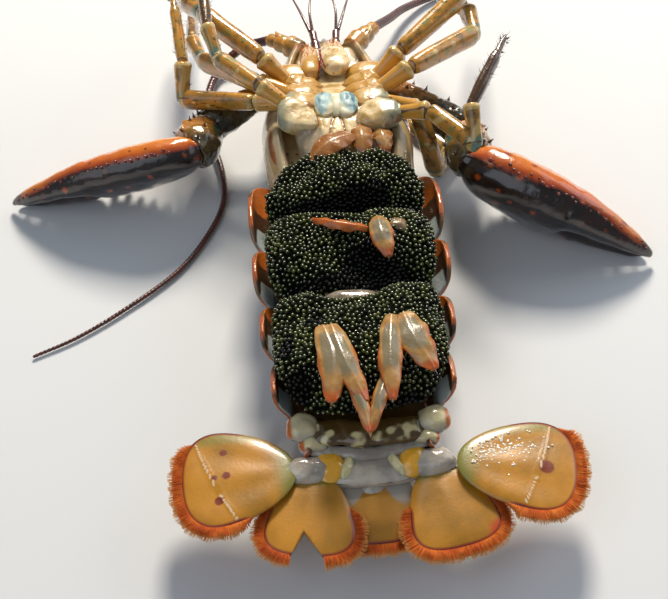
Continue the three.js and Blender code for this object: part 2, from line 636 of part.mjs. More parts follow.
function clawPieces(side) {
  const { claw, a, b, wrist, long, at } = clawFrame(side);
  const elbow = v3(...claw.elbow.map(len));
  const root = limbRoot(1, side);
  const [hipTurn, hipLift] = HIP_AIM[side][1];
  const out = aim(side, hipTurn, hipLift);
  const armWay = elbow.clone().sub(root).normalize();
  const wristWay = wrist.clone().sub(elbow).normalize();
  const elbowFold = armWay.clone().add(wristWay).normalize();
  const wristFold = wristWay.clone().add(a).normalize();
  const mid = (t) => root.clone().lerp(elbow, t);
  const over = v3(0, 0, 1);

  const elbowBall = ball(elbow, len(7.4), len(7.4), len(7.4), 10, 7);
  const wristBall = ball(wrist, len(6.4), len(6.4), len(6.4), 10, 7);
  const arm = [
    limb([
      { at: root.clone().addScaledVector(out, -len(2)), wide: len(5.4), high: len(5) },
      { at: mid(0.2), wide: len(6), high: len(5.4) },
      { at: mid(0.3), wide: len(5.6), high: len(5.2) },
      { at: mid(0.6), wide: len(7.4), high: len(6.2) },
      { at: mid(0.9), wide: len(8.4), high: len(7) },
      { at: mid(1.02), wide: len(7), high: len(6.2) },
    ], over, 10),
    elbowBall,
  ];
  const way = (t) => elbow.clone().lerp(wrist, t);
  const carpus = [
    elbowBall,
    limb([
      { at: way(-0.05), wide: len(6), high: len(6) },
      { at: way(0.25), wide: len(8.6), high: len(8.4) },
      { at: way(0.6), wide: len(10.4), high: len(10) },
      { at: way(0.9), wide: len(9.6), high: len(9.2) },
      { at: way(1.05), wide: len(6.6), high: len(6.6) },
    ], over, 10),
    wristBall,
  ];
  const palm = [wristBall, clawLoft(side, PALM, 14)];
  for (let i = 0; i < 3; i += 1) {
    const t = 0.35 + 0.25 * i;
    carpus.push(spine(way(t).add(v3(side * len(5), 0, len(8))), v3(side * 0.5, -0.3, 0.9), len(3.4), len(1.6)));
    arm.push(spine(mid(0.5 + 0.2 * i).add(v3(0, len(2), len(5.6))), v3(side * 0.3, 0.3, 0.9), len(3), len(1.3)));
  }
  for (let i = 0; i < claw.bumps; i += 1) {
    const t = lerp(0.1, 0.5, i / (claw.bumps - 1));
    const edge = len(claw.half) * (0.7 + 0.3 * Math.sin(Math.PI * Math.min(1, t * 2.6)));
    palm.push(spine(at(long * t, edge, len(claw.thick) * 0.3), b.clone().addScaledVector(a, 0.5), len(3), len(1.7)));
  }
  const finger = clawLoft(side, FINGER, 12);
  return {
    arm: behind(beyond(join(arm), root, out, GAP), elbow, elbowFold),
    wrist: behind(beyond(join(carpus), elbow, elbowFold), wrist, wristFold),
    palm: onFloor(beyond(join(palm), wrist, wristFold)),
    finger: onFloor(finger),
  };
}

for (const side of [RIGHT, LEFT]) {
  const pieces = clawPieces(side);
  addNode(`claw_${sideName(side)}_arm`, clearOf(pieces.arm, sternumSolid, carapaceClear), shellOlive);
  addNode(`claw_${sideName(side)}_wrist`, pieces.wrist, shellOlive);
  addNode(`claw_${sideName(side)}_palm`, pieces.palm, shellOrange);
  addNode(`claw_${sideName(side)}_finger`, pieces.finger, shellOrange);
}

// Abdomen: six tail segments, each with its side plates

const SEGMENT_HALF = [
  [0.22, 0], [0.52, 0.03], [0.77, 0.16], [0.93, 0.38], [1, 0.64],
  [0.99, 0.86], [0.93, 1], [0.87, 0.95], [0.82, 0.78], [0.4, 0.76],
];
const SEGMENTS = [
  { name: 'abdomen_1', half: 24.5, low: 0.8, rim: 28 },
  { name: 'abdomen_2', half: 28, low: 0, rim: 28, plate: 36.6, back: 0.42, ahead: 14 },
  { name: 'abdomen_3', half: 28.4, low: 0, rim: 28, plate: 35.8, back: 0.55, ahead: 3 },
  { name: 'abdomen_4', half: 27.6, low: 0, rim: 27.4, plate: 34, back: 0.72, ahead: 1 },
  { name: 'abdomen_5', half: 25.6, low: 1, rim: 26.6, plate: 31, back: 0.85, ahead: 0.5 },
  { name: 'abdomen_6', half: 22, low: 3.2, rim: 25.6 },
];
const PLATE_RISE = 8;

// A curved leaf from a grid of points, equally thick on both faces
function leafSolid(point, normal, columns, rows, thickness) {
  const positions = [];
  for (const sideOf of [1, -1]) {
    for (let r = 0; r <= rows; r += 1) {
      for (let c = 0; c <= columns; c += 1) {
        const n = typeof normal === 'function' ? normal(c / columns, r / rows) : normal;
        const half = (thickness(r / rows) / 2) * sideOf;
        positions.push(point(c / columns, r / rows).addScaledVector(n, half));
      }
    }
  }
  const stride = columns + 1;
  const under = stride * (rows + 1);
  const id = (c, r) => r * stride + c;
  const triangles = [];
  for (let r = 0; r < rows; r += 1) {
    for (let c = 0; c < columns; c += 1) {
      const [p, q, s, t] = [id(c, r), id(c + 1, r), id(c + 1, r + 1), id(c, r + 1)];
      triangles.push([p, q, s], [p, s, t]);
      triangles.push([under + p, under + s, under + q], [under + p, under + t, under + s]);
    }
  }
  const wall = (p, q) => triangles.push([p, under + q, q], [p, under + p, under + q]);
  for (let c = 0; c < columns; c += 1) {
    wall(id(c, 0), id(c + 1, 0));
    wall(id(c + 1, rows), id(c, rows));
  }
  for (let r = 0; r < rows; r += 1) {
    wall(id(0, r + 1), id(0, r));
    wall(id(columns, r), id(columns, r + 1));
  }
  return meshFrom(positions, triangles);
}

function sidePlate(segment, front, long, side) {
  const base = segment.half * 0.93;
  const baseZ = lerp(segment.low, segment.rim, 0.82);
  const tipZ = segment.rim + PLATE_RISE;
  const point = (u, v) => {
    const out = lerp(base, segment.plate, Math.sin((v * Math.PI) / 2));
    const ahead = front - len(0.7) + len(segment.ahead) * THREE.MathUtils.smoothstep(v, 0, 0.8);
    const behindIt = front - long + len(0.7) - len(1.5) * v;
    const tip = front - long * segment.back;
    const close = 1 - Math.sqrt(1 - 0.97 * v ** 2.9);
    return v3(side * len(out), lerp(lerp(ahead, behindIt, u), tip, close), len(lerp(baseZ, tipZ, v)));
  };
  const rise = v3(-side * (tipZ - baseZ), 0, segment.plate - base).normalize();
  return leafSolid(point, rise, 4, 5, (v) => len(lerp(2.2, 0.9, v)));
}

const segmentSolids = [];
let front = ABDOMEN_FRONT;
SEGMENTS.forEach((segment, i) => {
  const long = len(ABDOMEN_LENGTHS[i]);
  const rear = front - long + GAP;
  const shares = i > 0 ? [[0, 0.95], [0.5, 1], [1, 0.985]] : [[0, 0.98], [1, 1]];
  const rings = shares.map(([t, f]) =>
    mirroredRing(SEGMENT_HALF, lerp(front, rear, t), len(segment.half * f), len(segment.low), len(segment.rim)),
  );
  const pieces = [loft(rings)];
  if (segment.plate) {
    pieces.push(sidePlate(segment, front, long, RIGHT), sidePlate(segment, front, long, LEFT));
  }
  if (segment.name === 'abdomen_6') {
    for (const side of [RIGHT, LEFT]) {
      pieces.push(ball(v3(side * len(21.5), front - len(6.4), len(24.4)), len(4.8), len(6), len(4.6), 8, 5));
      pieces.push(ball(v3(side * len(18.6), rear + len(3), len(22.6)), len(3), len(3.4), len(3), 8, 5));
    }
  }
  segmentSolids.push(join(pieces));
  front -= long;
});

// Each segment's plates give way to the solid behind it
segmentSolids.forEach((solid, i) => {
  const next = segmentSolids[i + 1];
  const clear = next ? cut(solid, next.translate([0, GAP, 0]), next.translate([0, 0, -GAP])) : solid;
  const last = beyond(clear, v3(0, ABDOMEN_REAR + GAP / 2, 0), v3(0, 1, 0));
  segmentSolids[i] = last;
  addNode(SEGMENTS[i].name, last, shellOlive);
});

// Tail fan: telson, and on each side a base knob with an inner and an outer lobe

const FRINGE = 4.6;

// A lobe seen from its root: length along, width across, wider towards the end, edged with a fringe
function fanLobe({ root, turn, length, width, taper, level, thick, drop, power = 2.7, rim = 28 }) {
  const start = v3(len(root[0]), ABDOMEN_REAR + len(root[1]), 0);
  const along = v3(Math.cos(rad(turn)), Math.sin(rad(turn)), 0);
  const across = v3(-along.y, along.x, 0);
  const edge = (i) => {
    const angle = (2 * Math.PI * (i + 0.5)) / rim;
    const c = Math.sign(Math.cos(angle)) * Math.abs(Math.cos(angle)) ** (2 / power);
    const s = Math.sign(Math.sin(angle)) * Math.abs(Math.sin(angle)) ** (2 / power);
    return { p: length / 2 + (length / 2) * c, q: (width / 2) * s * (1 + taper * c), free: c > -0.15, angle };
  };
  const place = (p, q, lift) =>
    start.clone().addScaledVector(along, len(p)).addScaledVector(across, len(q))
      .add(v3(0, 0, len(level - drop * (p / length) ** 2 - 0.9 * (q / width) ** 2 + lift)));
  const middle = { p: length * 0.5, q: 0 };
  const shares = [[0.62, 1], [1, 0.42]];
  const positions = [];
  for (const face of [1, -1]) {
    positions.push(place(middle.p, middle.q, (face * thick) / 2));
    for (const [share, f] of shares) {
      for (let i = 0; i < rim; i += 1) {
        const e = edge(i);
        positions.push(place(lerp(middle.p, e.p, share), lerp(middle.q, e.q, share), (face * thick * f) / 2));
      }
    }
    for (let i = 0; i < rim; i += 1) {
      const e = edge(i);
      const reach = e.free ? (i % 2 === 0 ? FRINGE : FRINGE * 0.62) : 0.3;
      const away = Math.hypot(e.p - middle.p, e.q - middle.q);
      const grow = 1 + reach / away;
      positions.push(place(middle.p + (e.p - middle.p) * grow, middle.q + (e.q - middle.q) * grow, face * 0.27));
    }
  }
  const bands = shares.length + 1;
  const under = positions.length / 2;
  const id = (band, i) => 1 + band * rim + (i % rim);
  const triangles = [];
  for (let i = 0; i < rim; i += 1) {
    triangles.push([0, id(0, i), id(0, i + 1)], [under, under + id(0, i + 1), under + id(0, i)]);
    for (let band = 0; band + 1 < bands; band += 1) {
      const [p, q, s, t] = [id(band, i), id(band, i + 1), id(band + 1, i + 1), id(band + 1, i)];
      triangles.push([p, s, q], [p, t, s]);
      triangles.push([under + p, under + q, under + s], [under + p, under + s, under + t]);
    }
    const [m, n] = [id(bands - 1, i), id(bands - 1, i + 1)];
    triangles.push([m, under + n, n], [m, under + m, under + n]);
  }
  return meshFrom(positions, triangles);
}

const KNOB = { x: 20.5, y: 5.4, z: 20, rx: 8.8, ry: 5.4, rz: 4.4 };
const NOTCH = { x: -23.3, y: -173.9, wide: 8.6, deep: 14 };

const TELSON = {
  root: [0.8, 2.4], turn: -90, length: 34, width: 25.5, taper: 0.05, level: 15.6, thick: 3.4, drop: 1.2, power: 3.2,
};
const ENDOPODS = {
  [RIGHT]: { root: [-18.6, -6], turn: -98, length: 30, width: 27, taper: 0.34, level: 19.2, thick: 2.6, drop: 1.4 },
  [LEFT]: { root: [21.4, -6], turn: -79, length: 31, width: 27, taper: 0.34, level: 19.2, thick: 2.6, drop: 1.4 },
};
const EXOPODS = {
  [RIGHT]: { root: [-24.6, -6], turn: -178, length: 38, width: 33.5, taper: 0.36, level: 22.4, thick: 2.6, drop: 1.4 },
  [LEFT]: { root: [28.4, -7], turn: -8, length: 39.6, width: 31.5, taper: 0.36, level: 22.4, thick: 2.6, drop: 1.4 },
};

function knobSolid(side, more) {
  const centre = v3(side * len(KNOB.x), ABDOMEN_REAR - len(KNOB.y), len(KNOB.z));
  return ball(centre, len(KNOB.rx) + more, len(KNOB.ry) + more, len(KNOB.rz) + more, 12, 7);
}

const pastAbdomen = (body) => behind(body, v3(0, ABDOMEN_REAR - GAP / 2, 0), v3(0, 1, 0));
const knobClear = [knobSolid(RIGHT, GAP), knobSolid(LEFT, GAP)];

addNode('telson', pastAbdomen(cut(fanLobe(TELSON), knobClear)), fanAmber);
for (const side of [RIGHT, LEFT]) {
  const name = sideName(side);
  let endopod = cut(fanLobe(ENDOPODS[side]), knobClear);
  if (side === RIGHT) {
    const wedge = new THREE.Shape();
    wedge.moveTo(len(NOTCH.x), len(NOTCH.y));
    wedge.lineTo(len(NOTCH.x - NOTCH.wide), len(NOTCH.y - NOTCH.deep));
    wedge.lineTo(len(NOTCH.x + NOTCH.wide), len(NOTCH.y - NOTCH.deep));
    wedge.closePath();
    const prism = new THREE.ExtrudeGeometry(wedge, { depth: len(20), bevelEnabled: false });
    prism.translate(0, 0, len(8));
    endopod = cut(endopod, solidOf(prism));
  }
  addNode(`uropod_base_${name}`, pastAbdomen(knobSolid(side, 0)), membraneGrey);
  addNode(`endopod_${name}`, endopod, fanAmber);
  addNode(`exopod_${name}`, cut(fanLobe(EXOPODS[side]), knobClear), fanAmber);
}

// Pleopods: leaves that spread from the top of a stalk between the eggs.
// Each leaf is its root, its tip, its width and its level.

const PLEOPODS = [
  { name: 'pleopod_front_right', stalk: [-1.5, -25], leaves: [[1.4, -18.4, -11.4, -33, 6.6, 47]] },
  { name: 'pleopod_front_left', stalk: [11, -23], leaves: [[9.4, -15, 8.6, -28, 6.5, 47], [13.6, -15, 16.8, -28, 6, 47]] },
  { name: 'pleopod_middle', stalk: [14, -68.5], leaves: [[12.5, -70.5, -12.4, -63.2, 4.6, 47.6], [11, -68, 12.8, -83.6, 10.6, 47.8]] },
  {
    name: 'pleopod_rear_right', stalk: [-11, -109],
    leaves: [[-11.4, -107, -10, -143.6, 11, 47.6], [-9.6, -107, 0.6, -148, 9, 47.8], [-7.4, -126, -5.2, -150, 4, 47]],
  },
  {
    name: 'pleopod_rear_left', stalk: [14, -107],
    leaves: [[12.2, -105.5, 7.8, -143, 8.6, 47.6], [15.4, -105, 24.6, -131, 14, 47.4], [9.6, -128, 2.2, -154.4, 4.2, 47]],
  },
];
const STALK_TOP = 47.4;
const STALK_FOOT = 33;

function leafBlade([rootX, rootY, tipX, tipY, width, level]) {
  const root = v3(len(rootX), len(rootY), len(level));
  const reach = v3(len(tipX), len(tipY), len(level)).sub(root);
  const across = v3(-reach.y, reach.x, 0).normalize();
  const point = (u, v) => {
    const q = (u - 0.5) * width * Math.sin(Math.PI * (0.14 + 0.83 * v)) ** 0.75;
    const arch = 1.2 * Math.sin(Math.PI * v) - 2.2 * (q / width) ** 2;
    return root.clone().addScaledVector(reach, v).addScaledVector(across, len(q)).add(v3(0, 0, len(arch)));
  };
  return leafSolid(point, v3(0, 0, 1), 2, 5, (v) => len(lerp(2, 0.8, v)));
}

function stalkSolid({ stalk: [x, y] }, more) {
  const radius = len(2) + more;
  return limb([
    { at: v3(len(x), len(y), len(STALK_FOOT) - more), wide: radius, high: radius },
    { at: v3(len(x), len(y), len(STALK_TOP + 1) + more), wide: radius, high: radius },
  ], v3(0, 1, 0), 6);
}

const pleopodSolid = (pleopod) =>
  join(stalkSolid(pleopod, 0), pleopod.leaves.map((leaf) => leafBlade(leaf)));

for (const pleopod of PLEOPODS) {
  const around = pleopod.name.includes('front') ? [sternumSolid, carapaceClear] : [];
  addNode(pleopod.name, clearOf(pleopodSolid(pleopod), ...around), leafTan);
}

// Egg masses: three bumpy lobes carried between the side plates

// Edges ahead and behind are [x, y] along each mass
const EGG_MASSES = [
  {
    name: 'egg_mass_front', half: 29, top: 45.4, middle: -42, seat: 18, tuck: 0.5,
    ahead: [[-30, -46], [-22.5, -33], [-10, -23], [-3, -16], [1.6, -19], [6, -25.5], [17, -26.5], [25, -34], [30, -47]],
    behind: [[-30, -55.4], [30, -55.8]],
  },
  {
    name: 'egg_mass_middle', half: 29.6, top: 45.6, middle: -72, seat: 18, tuck: 0.8,
    ahead: [[-30, -56.9], [0, -56.7], [30, -57.2]], behind: [[-30, -90.2], [30, -89]],
  },
  {
    name: 'egg_mass_rear', half: 28.8, top: 45, middle: -113, seat: 17, tuck: 0.72,
    ahead: [[-30, -91.6], [-17, -92], [0, -97.2], [13, -91.4], [30, -90.6]],
    behind: [[-30, -128], [-22, -134], [-10, -137.5], [4, -137.5], [14, -136], [22, -133.5], [30, -127]],
  },
];
const EGG_FLOOR = 22.2;
const EGG_WAIST = 0.58;
const EGG_COLUMNS = 14;
const EGG_ROWS = 9;
const EGG_BUMP = 0.7;

function eggMass(mass, draw) {
  const waist = lerp(EGG_FLOOR, mass.top, EGG_WAIST);
  const stride = EGG_COLUMNS + 1;
  const positions = [];
  for (let r = 0; r <= EGG_ROWS; r += 1) {
    for (let c = 0; c <= EGG_COLUMNS; c += 1) {
      const u = -1 + (2 * c) / EGG_COLUMNS;
      const w = 1 - (2 * r) / EGG_ROWS;
      const edge = r === 0 || c === 0 || r === EGG_ROWS || c === EGG_COLUMNS;
      const fall = w > 0 ? 0.4 * w ** 8 : 0.7 * w ** 4;
      const dome = Math.max(0, 1 - 0.6 * u ** 6 - fall) ** 0.6;
      const rough = edge ? 0 : draw(-EGG_BUMP, EGG_BUMP);
      const x = u * mass.half * (1 - 0.14 * Math.abs(w) ** 5);
      const y = lerp(mass.middle, through(w > 0 ? mass.ahead : mass.behind, x), Math.abs(w) * (1 - 0.1 * Math.abs(u) ** 5));
      positions.push(v3(len(x + rough * 0.5), len(y + rough * 0.5), len(edge ? waist : lerp(waist, mass.top, dome) + rough - 0.7)));
    }
  }
  const loop = [];
  for (let c = 0; c < EGG_COLUMNS; c += 1) loop.push(c);
  for (let r = 0; r < EGG_ROWS; r += 1) loop.push(r * stride + EGG_COLUMNS);
  for (let c = EGG_COLUMNS; c > 0; c -= 1) loop.push(EGG_ROWS * stride + c);
  for (let r = EGG_ROWS; r > 0; r -= 1) loop.push(r * stride);
  const foot = positions.length;
  const middle = len(mass.middle);
  for (const i of loop) {
    const { x, y } = positions[i];
    positions.push(v3((x * mass.seat) / mass.half, lerp(middle, y, y > middle ? mass.tuck : Math.min(0.8, mass.tuck)), len(EGG_FLOOR)));
  }
  const hub = positions.push(v3(0, middle, len(EGG_FLOOR))) - 1;
  const triangles = [];
  for (let r = 0; r < EGG_ROWS; r += 1) {
    for (let c = 0; c < EGG_COLUMNS; c += 1) {
      const [p, q, s, t] = [r * stride + c, r * stride + c + 1, (r + 1) * stride + c + 1, (r + 1) * stride + c];
      triangles.push([p, s, q], [p, t, s]);
    }
  }
  loop.forEach((rim, i) => {
    const j = (i + 1) % loop.length;
    triangles.push([rim, loop[j], foot + j], [rim, foot + j, foot + i], [hub, foot + i, foot + j]);
  });
  return meshFrom(positions, triangles);
}

const eggDraw = seeded(7);
const sockets = PLEOPODS.map((pleopod) => stalkSolid(pleopod, GAP));
const aroundEggs = {
  egg_mass_front: [carapaceClear, sternumSolid, segmentSolids[0]],
  egg_mass_middle: [],
  egg_mass_rear: [segmentSolids[5]],
};
for (const mass of EGG_MASSES) {
  const solid = cut(eggMass(mass, eggDraw), sockets);
  addNode(mass.name, clearOf(solid, aroundEggs[mass.name]), eggGreen);
}

export default model;
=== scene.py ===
# %% [markdown]
# # An egg-bearing American lobster on its back
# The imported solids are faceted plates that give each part's place and reach. This script
# puts a finished skin over each of them, in the same frame and in metres: wet shell plates,
# thin tail leaves with a fringe, and thousands of eggs.
# Lengths below are in millimetres, as on a drawing, and MM turns them to metres.

# %% Load the frame
import math
import random
from functools import lru_cache

import bpy
import numpy as np
from mathutils import Matrix, Quaternion, Vector, noise
from mathutils.kdtree import KDTree


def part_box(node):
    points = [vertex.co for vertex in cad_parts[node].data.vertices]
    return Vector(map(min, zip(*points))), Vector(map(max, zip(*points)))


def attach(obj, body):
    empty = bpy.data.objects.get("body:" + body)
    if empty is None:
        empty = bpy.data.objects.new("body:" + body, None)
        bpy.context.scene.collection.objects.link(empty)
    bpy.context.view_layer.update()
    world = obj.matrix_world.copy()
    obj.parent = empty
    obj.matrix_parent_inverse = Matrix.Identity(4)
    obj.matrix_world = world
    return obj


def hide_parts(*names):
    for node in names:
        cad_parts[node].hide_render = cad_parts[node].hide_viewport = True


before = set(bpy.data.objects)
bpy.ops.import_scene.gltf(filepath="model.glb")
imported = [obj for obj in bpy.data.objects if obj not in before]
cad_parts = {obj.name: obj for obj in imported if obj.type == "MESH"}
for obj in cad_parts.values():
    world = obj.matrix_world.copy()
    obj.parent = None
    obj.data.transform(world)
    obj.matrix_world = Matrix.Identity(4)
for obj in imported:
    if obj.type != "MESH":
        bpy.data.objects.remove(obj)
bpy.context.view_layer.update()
MM = 0.001

# %% [markdown]
# ## The camera
# The animal was photographed from above its tail, about 45 cm away. The camera stands at that
# distance, so that the near tail fan looks as large against the far legs as it does in life.

# %% Camera
EYE = Vector((-17.9, -364.1, 359.8))
TARGET = Vector((-7.1, -83.4, 25.0))
PHOTO_WIDTH = 668
FOCAL_PIXELS = 1200
SENSOR = 36
CAMERA_ROLL = -2.4

bpy.ops.object.camera_add(location=EYE * MM)
camera = bpy.context.object
camera.rotation_mode = "QUATERNION"
look = (TARGET - EYE).to_track_quat("-Z", "Y")
camera.rotation_quaternion = look @ Quaternion((0, 0, 1), math.radians(CAMERA_ROLL))
camera.data.sensor_width = SENSOR
camera.data.lens = FOCAL_PIXELS / PHOTO_WIDTH * SENSOR
camera.data.clip_start = 0.01
bpy.context.scene.camera = camera
print("lens", round(camera.data.lens, 1))

# %% [markdown]
# ## Colour and finish helpers
# Lobster shell is chitin hardened with lime, and wet. Its look is a cloudy colour under a
# clear coat of water. All the finishes share one recipe: a ramp of tones over a noise cloud,
# patches laid over it by a mask, fine pits as bump, and a coat. One small function adds
# a shader node with its settings and links.

# %% Shader helpers
def linear(hex_colour):
    parts = [int(hex_colour[i:i + 2], 16) / 255 for i in (1, 3, 5)]
    return tuple(c / 12.92 if c <= 0.04045 else ((c + 0.055) / 1.055) ** 2.4 for c in parts) + (1,)


def add(tree, kind, inputs=None, stops=None, **settings):
    node = tree.nodes.new(kind)
    for name, value in settings.items():
        setattr(node, name, value)
    for name, value in (inputs or {}).items():
        if isinstance(value, bpy.types.NodeSocket):
            tree.links.new(value, node.inputs[name])
        else:
            node.inputs[name].default_value = value
    for i, (place, tone) in enumerate(stops or []):
        ramp = node.color_ramp.elements
        element = ramp[i] if i < 2 else ramp.new(place)
        element.position = place
        element.color = linear(tone)
    return node


def per_mm(size):
    return 1000 / size


def cloud(tree, place, size, detail=3.0):
    return add(tree, "ShaderNodeTexNoise",
               {"Vector": place, "Scale": per_mm(size), "Detail": detail}).outputs["Fac"]


def ranged(tree, value, low, high):
    return add(tree, "ShaderNodeMapRange", {"Value": value, "From Min": low, "From Max": high},
               interpolation_type="SMOOTHSTEP").outputs["Result"]


def sum_of(tree, a, b, by=1.0):
    scaled = add(tree, "ShaderNodeMath", {0: b, 1: by}, operation="MULTIPLY").outputs[0]
    return add(tree, "ShaderNodeMath", {0: a, 1: scaled}, operation="ADD").outputs[0]


CHITIN_IOR = 1.54
WET_COAT = {"Coat Roughness": 0.06, "Coat IOR": 1.38}
GLOW_COLOUR = (1.0, 0.45, 0.2)
PIT_RELIEF = 0.0004
WANDER_MM = 4.5


def shell_finish(name, tones, tone_mm=9, patches=(), pits_mm=1.1, pit_depth=0.1, ripple=0.25,
                 roughness=0.3, coat=0.8, glow=0.0, glow_mm=3.0, gloss=None):
    """patches are (mask, low, high, colour, wander): a mask is an attribute's name or a size of spots.
    gloss gives the shader's own sockets by name."""
    material = bpy.data.materials.new(name)
    material.use_nodes = True
    tree = material.node_tree
    shader = tree.nodes["Principled BSDF"]
    place = add(tree, "ShaderNodeTexCoord").outputs["Object"]
    tone = ranged(tree, cloud(tree, place, tone_mm, 4.0), 0.3, 0.7)
    colour = add(tree, "ShaderNodeValToRGB", {"Fac": tone}, stops=tones).outputs["Color"]
    for mask, low, high, patch, wander in patches:
        if isinstance(mask, str):
            share = add(tree, "ShaderNodeAttribute", attribute_name=mask).outputs["Fac"]
        else:
            share = add(tree, "ShaderNodeTexVoronoi",
                        {"Vector": place, "Scale": per_mm(mask)}).outputs["Distance"]
        if wander:
            share = sum_of(tree, share, sum_of(tree, cloud(tree, place, WANDER_MM), -0.5), wander)
        mix = add(tree, "ShaderNodeMix", {"Factor": ranged(tree, share, low, high)}, data_type="RGBA")
        tree.links.new(colour, mix.inputs[6])
        mix.inputs[7].default_value = linear(patch)
        colour = mix.outputs[2]
    tree.links.new(colour, shader.inputs["Base Color"])
    pits = cloud(tree, place, pits_mm, 2.0)
    swell = cloud(tree, place, pits_mm * 7, 2.0)
    height = sum_of(tree, pits, swell, ripple * 4)
    bump = add(tree, "ShaderNodeBump",
               {"Height": height, "Strength": pit_depth * 4, "Distance": PIT_RELIEF})
    tree.links.new(bump.outputs["Normal"], shader.inputs["Normal"])
    sockets = {
        "Roughness": roughness, "IOR": CHITIN_IOR, "Coat Weight": coat, **WET_COAT,
        "Subsurface Weight": glow, "Subsurface Scale": glow_mm * MM, "Subsurface Radius": GLOW_COLOUR,
    }
    for socket, value in (sockets | (gloss or {})).items():
        shader.inputs[socket].default_value = value
    return material


# %% [markdown]
# ## Mesh helpers
# Most parts of a crustacean are tubes and leaves. A grid primitive has one corner for each
# (around, along) pair, so a rule that says where each pair goes shapes it, and the seam and
# the poles are merged afterwards. The grid's own UV map stays, for patterns that follow
# the surface. Limbs with many small bends start instead from a merged copy of their solids,
# which is subdivided, remeshed and smoothed, so that no facet is left.

# %% Selection, modifiers and smooth values
def only(piece):
    bpy.ops.object.select_all(action="DESELECT")
    piece.select_set(True)
    bpy.context.view_layer.objects.active = piece


def apply_modifier(piece, kind, **settings):
    only(piece)
    modifier = piece.modifiers.new(kind.title(), kind)
    for name, value in settings.items():
        setattr(modifier, name, value)
    bpy.ops.object.modifier_apply(modifier=modifier.name)


def lerp(a, b, t):
    return a + (b - a) * t


def smooth(low, high, value):
    t = min(1.0, max(0.0, (value - low) / (high - low)))
    return t * t * (3 - 2 * t)


def fade(low, high, value):
    """Falls from 1 to 0 as smooth rises."""
    return 1 - smooth(low, high, value)


def hump(off, width):
    """A soft bump round zero, width wide."""
    return math.exp(-(off / width) ** 2)


def through(pairs, place):
    """A smooth value through [place, value] pairs."""
    last = len(pairs) - 1
    if place <= pairs[0][0]:
        return pairs[0][1]
    if place >= pairs[last][0]:
        return pairs[last][1]
    i = 0
    while place > pairs[i + 1][0]:
        i += 1

    def slope(k):
        (x0, y0), (x1, y1) = pairs[max(k - 1, 0)], pairs[min(k + 1, last)]
        return (y1 - y0) / (x1 - x0)

    (x0, y0), (x1, y1) = pairs[i], pairs[i + 1]
    span = x1 - x0
    t = (place - x0) / span
    bend = t * (1 - t) * (1 - t) * slope(i) - t * t * (1 - t) * slope(i + 1)
    return lerp(y0, y1, t * t * (3 - 2 * t)) + span * bend


# %% Grids shaped by a rule, and copies of solids
MERGE = 2e-6
SOLID_MERGE = 1e-5
SKIN_LEVELS = 2


def close_up(piece):
    only(piece)
    bpy.ops.object.mode_set(mode="EDIT")
    bpy.ops.mesh.select_all(action="SELECT")
    bpy.ops.mesh.remove_doubles(threshold=MERGE)
    bpy.ops.mesh.normals_make_consistent(inside=False)
    bpy.ops.object.mode_set(mode="OBJECT")
    bpy.ops.object.shade_smooth()


def grid_piece(name, around, along, place, closed=True):
    bpy.ops.object.select_all(action="DESELECT")
    bpy.ops.mesh.primitive_grid_add(x_subdivisions=around, y_subdivisions=along, size=1)
    piece = bpy.context.object
    piece.name = piece.data.name = name
    spots = [(corner.co.x + 0.5, corner.co.y + 0.5) for corner in piece.data.vertices]
    for label, k in (("around", 0), ("along", 1)):
        layer = piece.data.attributes.new(label, "FLOAT", "POINT")
        layer.data.foreach_set("value", [spot[k] for spot in spots])
    for corner, (u, v) in zip(piece.data.vertices, spots):
        corner.co = Vector(place(u, v)) * MM
    if closed:
        close_up(piece)
    return piece


def leaf_piece(name, across, along, place, thickness, rounds=1):
    piece = grid_piece(name, across, along, place, closed=False)
    apply_modifier(piece, "SOLIDIFY", thickness=thickness * MM, offset=0.0)
    if rounds:
        apply_modifier(piece, "SUBSURF", levels=rounds, render_levels=rounds)
    close_up(piece)
    return piece


def skin_of(name, node, grain, swell, rounds):
    """A smooth skin over a copy of a solid. grain is the voxel in mm, swell moves it outwards."""
    skin = bpy.data.objects.new(name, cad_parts[node].data.copy())
    skin.data.materials.clear()
    bpy.context.scene.collection.objects.link(skin)
    only(skin)
    bpy.ops.object.mode_set(mode="EDIT")
    bpy.ops.mesh.select_all(action="SELECT")
    bpy.ops.mesh.remove_doubles(threshold=SOLID_MERGE)
    bpy.ops.mesh.tris_convert_to_quads()
    bpy.ops.object.mode_set(mode="OBJECT")
    apply_modifier(skin, "SUBSURF", levels=SKIN_LEVELS, render_levels=SKIN_LEVELS)
    apply_modifier(skin, "DISPLACE", strength=swell * MM, mid_level=0.0)
    apply_modifier(skin, "REMESH", mode="VOXEL", voxel_size=grain * MM)
    apply_modifier(skin, "SMOOTH", factor=0.5, iterations=rounds)
    bpy.ops.object.shade_smooth()
    skin.name = skin.data.name = name
    return skin


def paint(piece, label, measure, facing_too=False):
    """Keeps measure(point in mm) at each corner, for a finish to read. It may ask for the normal too."""
    corners = piece.data.vertices
    values = [measure(c.co / MM, c.normal) if facing_too else measure(c.co / MM) for c in corners]
    layer = piece.data.attributes.get(label) or piece.data.attributes.new(label, "FLOAT", "POINT")
    layer.data.foreach_set("value", values)


def roughen(piece, size, depth, seed=0.0):
    """Moves the surface in and out by a soft noise, size and depth in mm."""
    shift = Vector((seed, seed * 0.7, seed * 1.3))
    normals = [corner.normal.copy() for corner in piece.data.vertices]
    for corner, normal in zip(piece.data.vertices, normals):
        corner.co += normal * noise.noise(corner.co / (size * MM) + shift) * depth * MM


def dress(piece, finish, nodes):
    """Give a finished piece its material and its place in the part. Nothing dips below the floor."""
    for corner in piece.data.vertices:
        corner.co.z = max(corner.co.z, 0.0)
    piece.data.materials.clear()
    piece.data.materials.append(finish)
    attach(piece, "root")
    if nodes:
        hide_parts(*nodes)
    return piece


